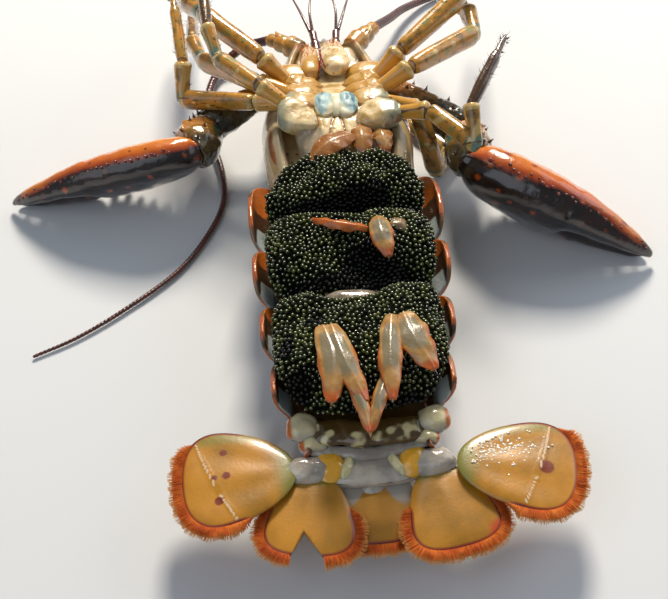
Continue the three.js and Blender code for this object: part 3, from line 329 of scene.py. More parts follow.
# %% Tubes, mounds and joining
def superellipse(turn, power):
    c, s = math.cos(turn), math.sin(turn)
    return (math.copysign(abs(c) ** (2 / power), c), math.copysign(abs(s) ** (2 / power), s))


def tube(name, stations, over, around=28, along=44, power=2.2, cap=0.1, swell=None, even=False):
    """A closed limb with round ends through stations of (centre in mm, half across, half over)."""
    walked = [0.0]
    for (a, *_), (b, *_) in zip(stations, stations[1:]):
        walked.append(walked[-1] + (b - a).length)
    shares = [w / walked[-1] for w in walked]
    tables = [[(t, s[0][k]) for t, s in zip(shares, stations)] for k in range(3)]
    tables += [[(t, s[k]) for t, s in zip(shares, stations)] for k in (1, 2)]

    def centre(t):
        return Vector([through(table, t) for table in tables[:3]])

    @lru_cache(maxsize=None)
    def ring(v):
        t = v if even else 0.5 - 0.5 * math.cos(math.pi * v)
        way = (centre(min(1, t + 0.01)) - centre(max(0, t - 0.01))).normalized()
        across = way.cross(over).normalized()
        end = min(t, 1 - t) / cap
        close = math.sqrt(max(0.0, 1 - (1 - end) ** 2)) if end < 1 else 1.0
        wide, high = through(tables[3], t), through(tables[4], t)
        return centre(t), across, across.cross(way).normalized(), wide, high, close

    def place(u, v):
        middle, across, up, wide, high, close = ring(round(v, 6))
        c, s = superellipse(2 * math.pi * u, power)
        extra = swell(u, v) if swell else 0
        return middle + across * (c * (wide + extra) * close) + up * (s * (high + extra) * close)

    return grid_piece(name, around, along, place)


def dome(name, centre, half_x, half_y, rise, sink=1.5, spin=0.0, bend=2.4, around=40, rows=30):
    """A low rounded mound on a surface. Its foot is sunk in it, and spin turns it about +Z."""
    turn = Matrix.Rotation(math.radians(spin), 3, "Z")

    def place(u, v):
        c, s = superellipse(2 * math.pi * u, 2.1)
        share = math.sin(math.pi / 2 * min(1, v / 0.8))
        height = rise * (1 - share ** bend)
        if v > 0.8:
            under = (v - 0.8) / 0.2
            share, height = fade(0.4, 1, under), -sink * smooth(0, 0.5, under)
        return centre + turn @ Vector((half_x * share * c, half_y * share * s, height))

    return grid_piece(name, around, rows, place)


def joined(name, pieces):
    only(pieces[0])
    for piece in pieces[1:]:
        piece.select_set(True)
    if len(pieces) > 1:
        bpy.ops.object.join()
    pieces[0].name = pieces[0].data.name = name
    return pieces[0]


# %% [markdown]
# ## Many small things
# Eggs, bristles and spines are each modelled once, with few faces, and copied. Points for them
# are dropped on a surface at random and kept only where no other is too near, which is how
# eggs pack. Each copy gets a patch of its own on the surface's unwrap, so that
# a baked colour doesn't run from one to the next.

# %% Scattering and copying
PATCH = 0.003
SCATTER_TRIES = 9


def scatter(piece, spacing, seed, keep):
    """Points in mm with their normals and places on the unwrap, at least spacing apart."""
    mesh = piece.data
    mesh.calc_loop_triangles()
    uv = mesh.uv_layers[0].data if mesh.uv_layers else None
    triangles = mesh.loop_triangles
    areas = np.array([t.area for t in triangles])
    reach = np.cumsum(areas)
    draw = random.Random(seed)
    wanted = int(areas.sum() / (spacing * MM) ** 2 * SCATTER_TRIES)
    cells = {}
    found = []
    for pick in sorted(np.searchsorted(reach, [draw.random() * reach[-1] for _ in range(wanted)]),
                       key=lambda _: draw.random()):
        triangle = triangles[int(pick)]
        a, b = sorted((draw.random(), draw.random()))
        weights = (a, b - a, 1 - b)
        corners = [mesh.vertices[i] for i in triangle.vertices]
        point = sum((c.co * w for c, w in zip(corners, weights)), Vector()) / MM
        normal = sum((c.normal * w for c, w in zip(corners, weights)), Vector()).normalized()
        if not keep(point, normal):
            continue
        cell = tuple(int(c // spacing) for c in point)
        near = (cells.get((cell[0] + i, cell[1] + j, cell[2] + k), ()) for i in (-1, 0, 1)
                for j in (-1, 0, 1) for k in (-1, 0, 1))
        if any((point - other).length < spacing for group in near for other in group):
            continue
        cells.setdefault(cell, []).append(point)
        root = (sum((uv[i].uv * w for i, w in zip(triangle.loops, weights)), Vector((0, 0)))
                if uv else Vector((0.5, 0.5)))
        found.append((point, normal, root))
    return found


def facing(direction, size, spin=0.0, stretch=1.0):
    """A matrix that stands a shape's +Z along a direction, in mm."""
    turn = direction.to_track_quat("Z", "Y") @ Quaternion((0, 0, 1), spin)
    return turn.to_matrix() @ Matrix.Diagonal((size, size, size * stretch))


def copied(name, pattern, places):
    """One mesh of many copies of a pattern object. places are (point, 3x3 matrix, unwrap place)."""
    mesh = pattern.data
    corners = np.array([corner.co for corner in mesh.vertices])
    faces = [list(face.vertices) for face in mesh.polygons]
    points = [corners @ np.array(turn).T + np.array(point) for point, turn, _ in places]
    count = len(corners)
    many = bpy.data.meshes.new(name)
    many.from_pydata(np.concatenate(points) * MM, [],
                     [[i + n * count for i in face] for n in range(len(places)) for face in faces])
    uv = many.uv_layers.new(name="OFBake")
    rise = many.attributes.new("rise", "FLOAT", "POINT")
    rise.data.foreach_set("value", np.tile(corners[:, 2], len(places)))
    local = [tuple(corners[i][:2] * PATCH / 2) for face in faces for i in face]
    uv.data.foreach_set("uv",
                        [c for *_, root in places for u, v in local for c in (root[0] + u, root[1] + v)])
    piece = bpy.data.objects.new(name, many)
    bpy.context.scene.collection.objects.link(piece)
    bpy.data.objects.remove(pattern)
    only(piece)
    bpy.ops.object.shade_smooth()
    return piece


BEAD_FOOT = -0.35


def bead_pattern():
    """A ball of radius 1, cut flat where it sits."""
    bpy.ops.mesh.primitive_ico_sphere_add(subdivisions=2, radius=1)
    bead = bpy.context.object
    bpy.ops.object.mode_set(mode="EDIT")
    bpy.ops.mesh.select_all(action="SELECT")
    bpy.ops.mesh.bisect(plane_co=(0, 0, BEAD_FOOT), plane_no=(0, 0, 1), clear_inner=True, use_fill=True)
    bpy.ops.object.mode_set(mode="OBJECT")
    return bead


def spike_pattern(sides, rows, tip):
    """A tapered spine of height 1 and radius 1 at the foot."""
    bpy.ops.mesh.primitive_cylinder_add(vertices=sides, radius=1, depth=1, location=(0, 0, 0.5))
    spike = bpy.context.object
    bpy.ops.object.transform_apply(location=True)
    bpy.ops.object.mode_set(mode="EDIT")
    for row in range(1, rows):
        bpy.ops.mesh.select_all(action="SELECT")
        bpy.ops.mesh.bisect(plane_co=(0, 0, row / rows), plane_no=(0, 0, 1))
    bpy.ops.object.mode_set(mode="OBJECT")
    for corner in spike.data.vertices:
        taper = lerp(1, tip, corner.co.z ** 0.8)
        corner.co = Vector((corner.co.x * taper, corner.co.y * taper, corner.co.z))
    return spike


# %% [markdown]
# ## Floor and light
# The model lies on a plain pale floor. The sun stood beyond the animal's head, so the key
# light stands there too, about as high as it is far off. It is small, so that wet shell
# glints, and large soft lights stand round the model.

# %% Floor and light
def matte(name, colour):
    material = bpy.data.materials.new(name)
    material.use_nodes = True
    shader = material.node_tree.nodes["Principled BSDF"]
    shader.inputs["Base Color"].default_value = linear(colour)
    shader.inputs["Roughness"].default_value = 0.85
    return material


FLOOR_LEVEL = -0.0003
WORLD_STRENGTH = 0.22
bpy.ops.mesh.primitive_plane_add(size=6, location=(0, 0, FLOOR_LEVEL))
floor = bpy.context.object
floor.name = "floor"
floor.data.materials.append(matte("pale_studio_floor", "#d9dde0"))

LIGHTS = [
    ("key", (0.15, 1.0, 0.95), 0.34, 27, "#fff3e2"),
    ("fill", (-0.8, -0.8, 1.0), 1.4, 6, "#eef4ff"),
    ("rim", (1.0, 0.4, 0.6), 0.9, 4, "#f2f6ff"),
]
CENTRE = Vector((0, -40, 20)) * MM
for label, spot, size, power, tint in LIGHTS:
    bpy.ops.object.light_add(type="AREA", location=spot)
    lamp = bpy.context.object
    lamp.name = label
    lamp.data.size = size
    lamp.data.energy = power
    lamp.data.color = linear(tint)[:3]
    lamp.rotation_mode = "QUATERNION"
    lamp.rotation_quaternion = (CENTRE - Vector(spot)).to_track_quat("-Z", "Y")

world = bpy.data.worlds.new("studio_air")
bpy.context.scene.world = world
world.use_nodes = True
world.node_tree.nodes["Background"].inputs["Color"].default_value = linear("#dfe8f2")
world.node_tree.nodes["Background"].inputs["Strength"].default_value = WORLD_STRENGTH
bpy.context.scene.view_settings.view_transform = "Standard"
print("lights", len(LIGHTS))

# %% [markdown]
# ## Finishes
# The back and the claws are olive and dark brown with orange edges, the underside is cream
# and tan like old ivory, the tail leaves are amber horn that lets light through, and the
# eggs are black-green pearls. Tones come from what the animal's pigment does: blue-green
# protein that turns orange where it thins. Water on the shell gives each a clear coat.

# %% Shell finishes
back_shell = shell_finish(
    "wet_olive_back_shell", [(0, "#3b2c15"), (0.45, "#5c4520"), (0.75, "#74501f"), (1, "#8f5f26")], 14,
    patches=[(5.5, 0.16, 0.1, "#20170e", 0), ("edge", 0.4, 0.9, "#a8541f", 0.2),
             # inside: the flaps' inner faces painted dark grey-brown, painted shade
             ("inside", 0.4, 0.8, "#45301f", 0.15),
             ("outer", 0.4, 0.85, "#bd6526", 0.8), ("stripe", 0.35, 0.8, "#b4bfbd", 0.5)],
    pit_depth=0.14, roughness=0.34, glow=0.05,
)
flank_shell = shell_finish(
    "wet_tan_flank_shell", [(0, "#8a744c"), (0.5, "#b39766"), (1, "#c9ab78")], 10,
    patches=[("back", 0.3, 0.75, "#5a4720", 0.35), ("back", 0.85, 1.0, "#3a2c16", 0.5),
             (6, 0.12, 0.07, "#7a3d1c", 0),
             ("streak", 0.5, 0.9, "#96552a", 0.4), ("lip", 0.3, 0.9, "#ab9a78", 0.5)],
    pit_depth=0.12,
)
ivory = shell_finish(
    "wet_ivory_underside", [(0, "#ad8d54"), (0.3, "#cfb27a"), (0.65, "#e3d0a2"), (1, "#d3b987")], 5,
    patches=[("gold", 0.2, 1.1, "#bf8f3a", 0.6), (4.2, 0.2, 0.08, "#9c8848", 0.3),
             ("grey", 0.3, 1.0, "#8f947c", 0.8),
             ("deep", 0.45, 1.0, "#8a5426", 0.3), ("skin", 0.3, 0.8, "#a8977c", 0.2),
             ("rust", 0.35, 0.9, "#a8642f", 0.15)],
    pits_mm=2.2, pit_depth=0.13, ripple=0.35, glow=0.2, coat=0.6, roughness=0.32,
)
leg_shell = shell_finish(
    "wet_ochre_leg_shell", [(0, "#7f6226"), (0.3, "#b38434"), (0.6, "#c9892f"), (1, "#8f8a48")], 6,
    patches=[("near", 0.2, 1.0, "#d29a3c", 0.3), (3.0, 0.17, 0.1, "#5c3a18", 0),
             ("far", 0.3, 0.85, "#4a3018", 0.45),
             (7, 0.2, 0.1, "#d8bd7c", 0.2), ("knee", 0.35, 0.85, "#5f7d6c", 0.6),
             ("end", 0.6, 1.05, "#cfb06a", 0.7),
             ("joint", 0.45, 0.9, "#6a4a22", 0.1)],
    pit_depth=0.1, glow=0.06, coat=1.0, roughness=0.24,
)
claw_shell = shell_finish(
    "wet_orange_and_black_claw_shell", [(0, "#150d0a"), (0.6, "#20130d"), (1, "#33190f")], 12,
    patches=[("upper", 0.44, 0.56, "#9c3f18", 0.1), ("upper", 0.52, 0.7, "#c9641a", 0.14),
             ("upper", 0.66, 0.95, "#d98425", 0.3),
             (8.0, 0.26, 0.1, "#a5491b", 0.3), (5.0, 0.13, 0.06, "#5a2412", 0),
             ("tip", 0.35, 0.9, "#2b1512", 0.2)],
    pit_depth=0.1, roughness=0.22, coat=1.0,
)
# On the arms the upper masks are painted light: orange on the side towards the light, dark on the far side
arm_shell = shell_finish(
    "wet_dark_arm_shell", [(0, "#231c11"), (0.5, "#3f371c"), (1, "#58431d")], 9,
    patches=[("upper", 0.5, 0.8, "#8a6428", 0.5), ("upper", 0.72, 1.0, "#bd7c2a", 0.45),
             (4.5, 0.14, 0.07, "#1d150d", 0),
             ("teal", 0.4, 0.9, "#3f6f60", 0.3)],
    pit_depth=0.14, coat=1.0, roughness=0.24,
)
dark_spine = shell_finish("dark_brown_spine", [(0, "#33180e"), (1, "#5e2e16")], 3, pit_depth=0.0, coat=1.0)
red_knob = shell_finish("dark_red_claw_knob", [(0, "#4f160d"), (1, "#8a2c14")], 3, pit_depth=0.0, coat=1.0)
red_tooth = shell_finish("dark_red_jaw_tooth", [(0, "#7d1313"), (1, "#a8241a")], 3, pit_depth=0.0, coat=1.0)
tooth_ivory = shell_finish("brown_ivory_claw_tooth", [(0, "#6a4a30"), (0.6, "#96714a"), (1, "#b39468")], 5,
                           pit_depth=0.05, coat=1.0)

# %% Soft and glassy finishes
receptacle_horn = shell_finish(
    "pale_blue_receptacle_horn", [(0, "#d6c9a4"), (0.5, "#e6dab8"), (1, "#ece3c9")], 4,
    patches=[("blue", 0.25, 0.75, "#9ab8ba", 0.5), ("core", 0.3, 0.75, "#5d828e", 0.4)], pit_depth=0.1,
    ripple=0.4, glow=0.25, coat=0.1,
    roughness=0.5, gloss={"Specular IOR Level": 0.25},
)
# The white point on each egg is mostly a painted highlight: a pale cap on the bead, set by its height
WET_GLASS = {"IOR": 1.4, "Specular IOR Level": 0.25, "Coat IOR": 1.45, "Coat Roughness": 0.04}
egg_pearl = shell_finish(
    "wet_black_green_egg", [(0, "#1a200b"), (0.5, "#303816"), (1, "#4c5220")], 5.0,
    patches=[(9, 0.25, 0.1, "#12160a", 0.3), ("rise", 0.915, 0.955, "#eef2e2", 0.0),
             # sunk: painted shade, near black, in the rolls' shadowed bands
             ("sunk", 0.35, 0.8, "#050704", 0.15)],
    pit_depth=0.0, roughness=0.2, coat=0.35, gloss=WET_GLASS,
)
# Painted shade: the ground between and under the beads is near black, darker than the eggs' own tones
egg_ground_shade = shell_finish(
    "painted_shade_egg_mass_ground", [(0, "#040503"), (1, "#0b0e06")], 4, coat=0.0, roughness=0.9,
    gloss={"Specular IOR Level": 0.05},
)
fan_horn = shell_finish(
    "wet_amber_tail_horn", [(0, "#996c14"), (0.5, "#b07b1a"), (1, "#c08622")], 14,
    patches=[("root", 0.3, 1.0, "#7c7a34", 0.3), ("headwards", 0.3, 0.9, "#8a7a2a", 0.2),
             ("clear", 0.3, 0.7, "#a39c90", 0.15),
             ("blush", 0.1, 0.9, "#c04a1c", 0.5), ("freckle", 0.25, 0.8, "#7a3010", 0.4),
             ("seam", 0.4, 0.8, "#d9bfa0", 0.3),
             ("rim", 0.84, 0.92, "#8f3a14", 0.02), ("rim", 0.915, 0.945, "#4f120d", 0.01)],
    pit_depth=0.035, ripple=0.15, glow=0.25, glow_mm=4, roughness=0.36, coat=0.45,
    gloss={"Coat Roughness": 0.12},
)
# Painted highlight: pale opaque drops that stand for the wet sparkle on a leaf
sparkle_drop_finish = shell_finish("painted_sparkle_drop", [(0, "#f1ead6"), (1, "#fbf7ea")], 3, pit_depth=0.0,
                          roughness=0.1, coat=1.0)
fringe_bristle = shell_finish(
    "orange_red_fringe", [(0, "#b34a16"), (0.5, "#c95c1c"), (1, "#d97228")], 5,
    patches=[("out", 0.3, 0.95, "#e89a55", 0.3)], pit_depth=0.0, coat=0.0, glow=0.3, glow_mm=2,
    roughness=0.6,
    gloss={"Specular IOR Level": 0.2},
)
clear_skin = shell_finish(
    "wet_clear_joint_skin", [(0, "#968e84"), (0.5, "#aea69a"), (1, "#c4bcae")], 7,
    patches=[("brown", 0.3, 0.9, "#57421f", 0.6), ("yolk", 0.3, 0.8, "#f8b536", 0.6),
             ("cream", 0.35, 0.9, "#d6cc9a", 0.5),
             ("rusty", 0.4, 0.9, "#c2651c", 0.4)],
    pit_depth=0.1, glow=0.3, roughness=0.16, coat=1.0,
)
leaf_skin = shell_finish(
    "wet_tan_swimmeret_leaf", [(0, "#9c7138"), (0.5, "#ae8449"), (1, "#bd965c")], 4,
    patches=[("middle", 0.35, 1.0, "#807559", 0.7), ("edge", 0.35, 0.9, "#b3601a", 0.3),
             ("tip", 0.4, 0.95, "#b85812", 0.5),
             ("dusky", 0.3, 0.8, "#925a1e", 0.3)],
    pit_depth=0.08, ripple=0.5, glow=0.4, glow_mm=2, roughness=0.3, coat=0.6,
)
pale_bristle = shell_finish("pale_orange_bristle", [(0, "#b9763c"), (1, "#dcb88c")], 2, pit_depth=0.0,
                            coat=0.3, glow=0.3, glow_mm=1)
whip_horn = shell_finish("dark_maroon_feeler", [(0, "#3a1512"), (1, "#5a2018")], 4, pit_depth=0.1)
eye_glass = shell_finish("glossy_black_eye", [(0, "#050506"), (1, "#0b0b0d")], 3, pit_depth=0.0,
                         roughness=0.08, coat=1.0)
print("finishes", len(bpy.data.materials))

# %% [markdown]
# ## The underside of the thorax
# Each leg grows from a hip plate, a bulging cup of pale shell, and the plates crowd together
# with thin brown seams between them. A single fused skin would lose the seams, so each plate
# is a tube of its own that swells in the middle and narrows to the leg's collar, and
# it is tinted brown wherever its neighbour is close: partly the seams' own colour, partly
# painted shade in the creases between plates.

# %% Hip plates
SIDES = ("right", "left")
SIGN = {"right": -1, "left": 1}
UP = Vector((0, 0, 1))
STERNUM_TOP = [(-27, 42), (-9, 46), (1, 44.5), (11, 41), (20, 38), (30, 34.5), (40, 31.5), (48, 29.5)]
HIPS = {
    5: {"y": -7, "x": 15.6, "rx": 7.8, "ry": 6.9, "rz": 3.9, "reach": 9.5, "collar": 3.6,
        "inner": (8.0, -11.5)},
    4: {"y": 4.5, "x": 13.0, "rx": 6.6, "ry": 5.6, "rz": 3.8, "reach": 8, "collar": 3.5,
        "inner": (5.6, 6.6)},
    3: {"y": 12, "x": 13.2, "rx": 6.4, "ry": 5.4, "rz": 4.4, "reach": 7.6, "collar": 3.5,
        "inner": (3.6, 14.0)},
    2: {"y": 21, "x": 12.8, "rx": 6.2, "ry": 5.4, "rz": 4.4, "reach": 7.6, "collar": 3.5,
        "inner": (4.4, 21.8)},
    1: {"y": 31, "x": 12.6, "rx": 7.2, "ry": 6.4, "rz": 5.2, "reach": 9.5, "collar": 6,
        "inner": (5.6, 31.0)},
}
HIP_AIM = {
    "right": {5: (62, 12), 4: (25, -8), 3: (35, 0), 2: (28, 18), 1: (12, -16)},
    "left": {5: (-2, 4), 4: (2, -4), 3: (16, 14), 2: (28, 18), 1: (-8, -16)},
}
PROUD = 0.35
ROUND_TURN = 6.28


def round_noise(u, size, along):
    """A soft noise that runs round a limb, so that its seam closes."""
    return noise.noise(Vector((math.cos(ROUND_TURN * u) * size, math.sin(ROUND_TURN * u) * size, along)))


def aim(side, turn, lift):
    flat = math.cos(math.radians(lift))
    turned = math.radians(turn)
    return Vector((SIGN[side] * flat * math.cos(turned), flat * math.sin(turned),
                   math.sin(math.radians(lift))))


def hip_centre(pair, side):
    hip = HIPS[pair]
    return Vector((SIGN[side] * hip["x"], hip["y"], through(STERNUM_TOP, hip["y"]) - 1.2))


def limb_root(pair, side):
    return hip_centre(pair, side) + aim(side, *HIP_AIM[side][pair]) * HIPS[pair]["reach"]


def tree_of(pieces):
    corners = [corner.co / MM for piece in pieces for corner in piece.data.vertices]
    tree = KDTree(len(corners))
    for i, corner in enumerate(corners):
        tree.insert(corner, i)
    tree.balance()
    return tree


def hip_plate(pair, side):
    hip, centre, way = HIPS[pair], hip_centre(pair, side), aim(side, *HIP_AIM[side][pair])
    collar = hip["collar"] + PROUD
    inner = Vector((SIGN[side] * hip["inner"][0], hip["inner"][1],
                    through(STERNUM_TOP, hip["inner"][1]) - 0.6))
    stations = [
        (inner, hip["ry"] * 0.34, hip["rz"] * 0.44),
        (inner.lerp(centre, 0.4), hip["ry"] * 0.72, hip["rz"] * 0.78),
        (centre + way * hip["rx"] * 0.1, hip["ry"] + PROUD, hip["rz"] + PROUD),
        (centre + way * hip["rx"] * 0.8, max(collar * 1.15, hip["ry"] * 0.78), collar * 1.1),
        (centre + way * hip["reach"], collar, collar * 0.95),
        (centre + way * (hip["reach"] + 1.2), collar * 0.8, collar * 0.76),
    ]

    def swell(u, v):
        lip = 0.45 * hump(v - 0.86, 0.035) - 0.4 * hump(v - 0.79, 0.03)
        return lip + 0.35 * round_noise(u, 2, v * 5 + pair * 3 + SIGN[side])

    return tube(f"hip_plate_{pair}_{side}", stations, UP, 44, 52, cap=0.2, swell=swell,
                power=3.2 if pair > 3 else 2.6)


hip_plates = {(pair, side): hip_plate(pair, side) for side in SIDES for pair in HIPS}
sternum = skin_of("thorax_underside", "sternum", 0.6, -0.3, 8)
for (pair, side), plate in hip_plates.items():
    near = tree_of([hip_plates[other, side] for other in (pair - 1, pair + 1) if other in HIPS])
    # deep: brown near the neighbouring plates, partly seam colour and partly painted shade in the crease
    paint(plate, "deep", lambda p: fade(0.3, 2.2, near.find(p)[2]))
    paint(plate, "grey",
          lambda p: smooth(HIPS[pair]["x"] - 3, HIPS[pair]["x"] + 7, abs(p.x)) * (0.9 if pair > 3 else 0.3))
    paint(plate, "gold", lambda p: {5: 0.3, 4: 0.75}.get(pair, 0.95))
    dress(plate, ivory, [])
print("hip plates", len(hip_plates))

# %% [markdown]
# ## Breastplate and seed receptacle
# Between the hips lies the sternum. Behind the last pair it turns to thin grey skin, and two
# ovals, the seed receptacle, sit in front of an arched opening. The ovals are low mounds,
# streaky blue outwards and cream towards the middle line.

# %% Breastplate, ovals and arch
THIN_SKIN = [(-13.0, -15.5, 7.5, 8.0), (15.0, -17.5, 9.0, 8.5)]
ARCH = [(-3.4, -15.0), (-2.2, -9.0), (0.3, -4.2), (1.9, -9.0), (2.9, -15.5)]
FOLD_LINES = [
    [(9.5, -9.5), (11.5, -15.5), (13.0, -22.0)], [(12.5, -10.0), (16.5, -13.0), (17.5, -21.5)],
    [(-20.5, -11.0), (-18.0, -18.0), (-19.5, -23.5)], [(-6.5, -8.5), (-6.0, -14.0), (-8.5, -20.5)],
    [(20.5, -10.0), (22.0, -15.0), (21.0, -22.0)], [(-13.5, -10.0), (-12.5, -15.0), (-14.0, -22.0)],
]


def from_path(point, path):
    """How far a point lies from a line of corners, seen from above, in mm."""
    spots = [Vector(a).lerp(Vector(b), i / 8) for a, b in zip(path, path[1:]) for i in range(9)]
    return min((spot - point.xy).length for spot in spots)


def in_thin_skin(p, low):
    return max(fade(low, 1.1, math.hypot((p.x - x) / rx, (p.y - y) / ry)) for x, y, rx, ry in THIN_SKIN)


for corner in sternum.data.vertices:
    spot = corner.co / MM
    if corner.normal.z > 0.3 and spot.y < -2:
        ridge = max(hump(from_path(spot, path), 1.1) for path in FOLD_LINES)
        groove = hump(from_path(spot, ARCH), 0.6)
        corner.co.z += (1.1 * ridge - 0.7 * groove) * MM

hips_near = tree_of(list(hip_plates.values()))
# deep: brown beside the hip plates, along the arch and behind the left last hip plate, partly seam colour
# and partly painted shade in those creases
paint(sternum, "deep", lambda p: max(fade(0.4, 1.8, hips_near.find(p)[2]) * 0.9,
                                      fade(0.3, 1.1, from_path(p, ARCH)) if -16 < p.y < -3 else 0,
                                      0.8 * smooth(7, 11, p.x) * smooth(9, 12, -p.y) if p.y < -9 else 0))
paint(sternum, "grey", lambda p: in_thin_skin(p, 0.75))
paint(sternum, "gold", lambda p: 0.2)
paint(sternum, "skin", lambda p: in_thin_skin(p, 0.7))
paint(sternum, "rust",
      lambda p: smooth(4, 8, p.x) * smooth(9, 13, -p.y)
      * (0.6 + 0.5 * noise.noise(Vector((p.x / 1.6, p.y / 9, 0)))))
dress(sternum, ivory, ["sternum"])

OVALS = [(-4.2, 0.3, 4), (4.5, -0.4, -4)]
oval_base = through(STERNUM_TOP, -1.5) + 0.2
OVAL_HALF = (4.3, 6.8)
ovals = [dome(f"oval_{k}", Vector((x, y, oval_base + 0.9)), *OVAL_HALF, 1.5, 2.2, spin=spin, bend=3)
         for k, (x, y, spin) in enumerate(OVALS)]
bridge = dome("bridge", Vector((0.2, 0.2, oval_base + 0.4)), 3.6, 6.4, 1.9, 2.0)
for part, (x, y, _) in zip(ovals, OVALS):
    roughen(part, 2.6, 0.45, x)

    def outward(p):
        return 0.5 + 0.45 * (p.x - x) / OVAL_HALF[0] * math.copysign(1, x) + 0.35 * (p.y - y) / OVAL_HALF[1]

    def from_rim(p):
        return fade(0.86, 1.15, math.hypot((p.x - x) / OVAL_HALF[0], (p.y - y) / OVAL_HALF[1]))

    paint(part, "blue",
          lambda p: from_rim(p) * smooth(-0.1, 0.45, outward(p))
          * (0.85 + 0.5 * noise.noise(Vector((p.x / 1.1, p.y / 5, 3)))))
    paint(part, "core",
          lambda p: from_rim(p) * smooth(-0.15, 0.5, noise.noise(Vector((p.x / 1.5, p.y / 4, x))))
          * outward(p) * 1.3)
receptacle = joined("seed_receptacle", [*ovals, bridge])
dress(receptacle, receptacle_horn, ["seminal_receptacle"])
print("receptacle parts", len(ovals) + 1)

# %% [markdown]
# ## Walking legs
# A leg is a chain of five hard tubes with soft joints. Each tube is modelled on its own, a
# little wider at its far end, and its round end sits in the next one's collar. The joints
# are the same named angles and lengths as in the solids, so the legs keep their pose.

# %% Legs
LEG_STEPS = {
    "right": {
        5: [(25, 29), (51, -3), (74, 26), (86, 10), (92, -6)],
        4: [(23, -12), (23, -12), (98, 51), (84, 20), (82, 6)],
        3: [(34, -2), (50, -14), (74, -8), (88, -14), (96, -26)],
        2: [(33, 36), (50, 4), (64, -14), (76, -34), (84, -50)],
    },
    "left": {
        5: [(-21, 18), (-54, 0), (95, 42), (59, 15), (62, 8)],
        4: [(-4, -20), (-25, -74), (58, -2), (130, -2), (124, -6)],
        3: [(16, 27), (39, -6), (91, -4), (112, -16), (120, -34)],
        2: [(27, 36), (42, 10), (60, -10), (76, -30), (84, -48)],
    },
}
LEG_LENGTHS = {5: (12, 26, 15, 25, 11), 4: (13, 34, 15, 27, 11), 3: (13, 39, 17, 30, 13),
               2: (13, 38, 16, 29, 13)}
LEG_HALF_HEIGHT = {5: 3.9, 4: 4.1, 3: 4.5, 2: 4.7}
LEG_FLATNESS = 0.8
# Each article's shares of length and of the leg's half height
ARTICLES = [
    [(-0.1, 0.72), (0.3, 0.8), (0.7, 0.92), (0.93, 1.0), (1.06, 0.74)],
    [(-0.02, 0.7), (0.08, 0.88), (0.3, 0.96), (0.7, 1.0), (0.92, 1.04), (1.06, 0.82)],
    [(-0.12, 0.66), (0.1, 0.78), (0.5, 0.88), (0.85, 1.0), (0.98, 1.0), (1.07, 0.7)],
    [(-0.05, 0.6), (0.1, 0.72), (0.35, 0.8), (0.7, 0.72), (0.95, 0.66), (1.05, 0.44)],
]
DACTYL = [(-0.1, 0.46), (0.15, 0.46), (0.5, 0.36), (0.85, 0.2), (1.0, 0.08)]
FINGER_GAP = 1.15


def leg_joints(pair, side):
    joints = [limb_root(pair, side)]
    for (turn, lift), long in zip(LEG_STEPS[side][pair], LEG_LENGTHS[pair]):
        joints.append(joints[-1] + aim(side, turn, lift) * long)
    return joints


def article(name, start, end, shares, high, over, seed, shift=Vector()):
    stations = [(start.lerp(end, at) + shift, high * size * LEG_FLATNESS, high * size)
                for at, size in shares]

    def swell(u, v):
        ring = 0.22 * hump(v - 0.88, 0.03) - 0.25 * hump(v - 0.82, 0.025)
        return (ring + 0.28 * round_noise(u, 1.6, v * 4 + seed)) * min(1, high / 4)

    return tube(name, stations, over, 26, 40, cap=0.08, swell=swell)


def leg_parts(pair, side):
    joints, high = leg_joints(pair, side), LEG_HALF_HEIGHT[pair]
    merus = (joints[2] - joints[1]).normalized()
    over = merus.cross(UP).cross(merus).normalized()
    for k, shares in enumerate(ARTICLES):
        yield article(f"article_{k}", joints[k], joints[k + 1], shares, high, over, k * 3.1 + pair)
    hand = (joints[4] - joints[3]).normalized()
    spread = hand.cross(over).normalized()
    if pair > 3:
        yield article("dactyl", joints[4], joints[5], DACTYL, high, over, 9)
    else:
        for way in (1, -1):
            yield article("finger", joints[4], joints[5], DACTYL, high * 0.62, over, 9 + way,
                          spread * way * FINGER_GAP)


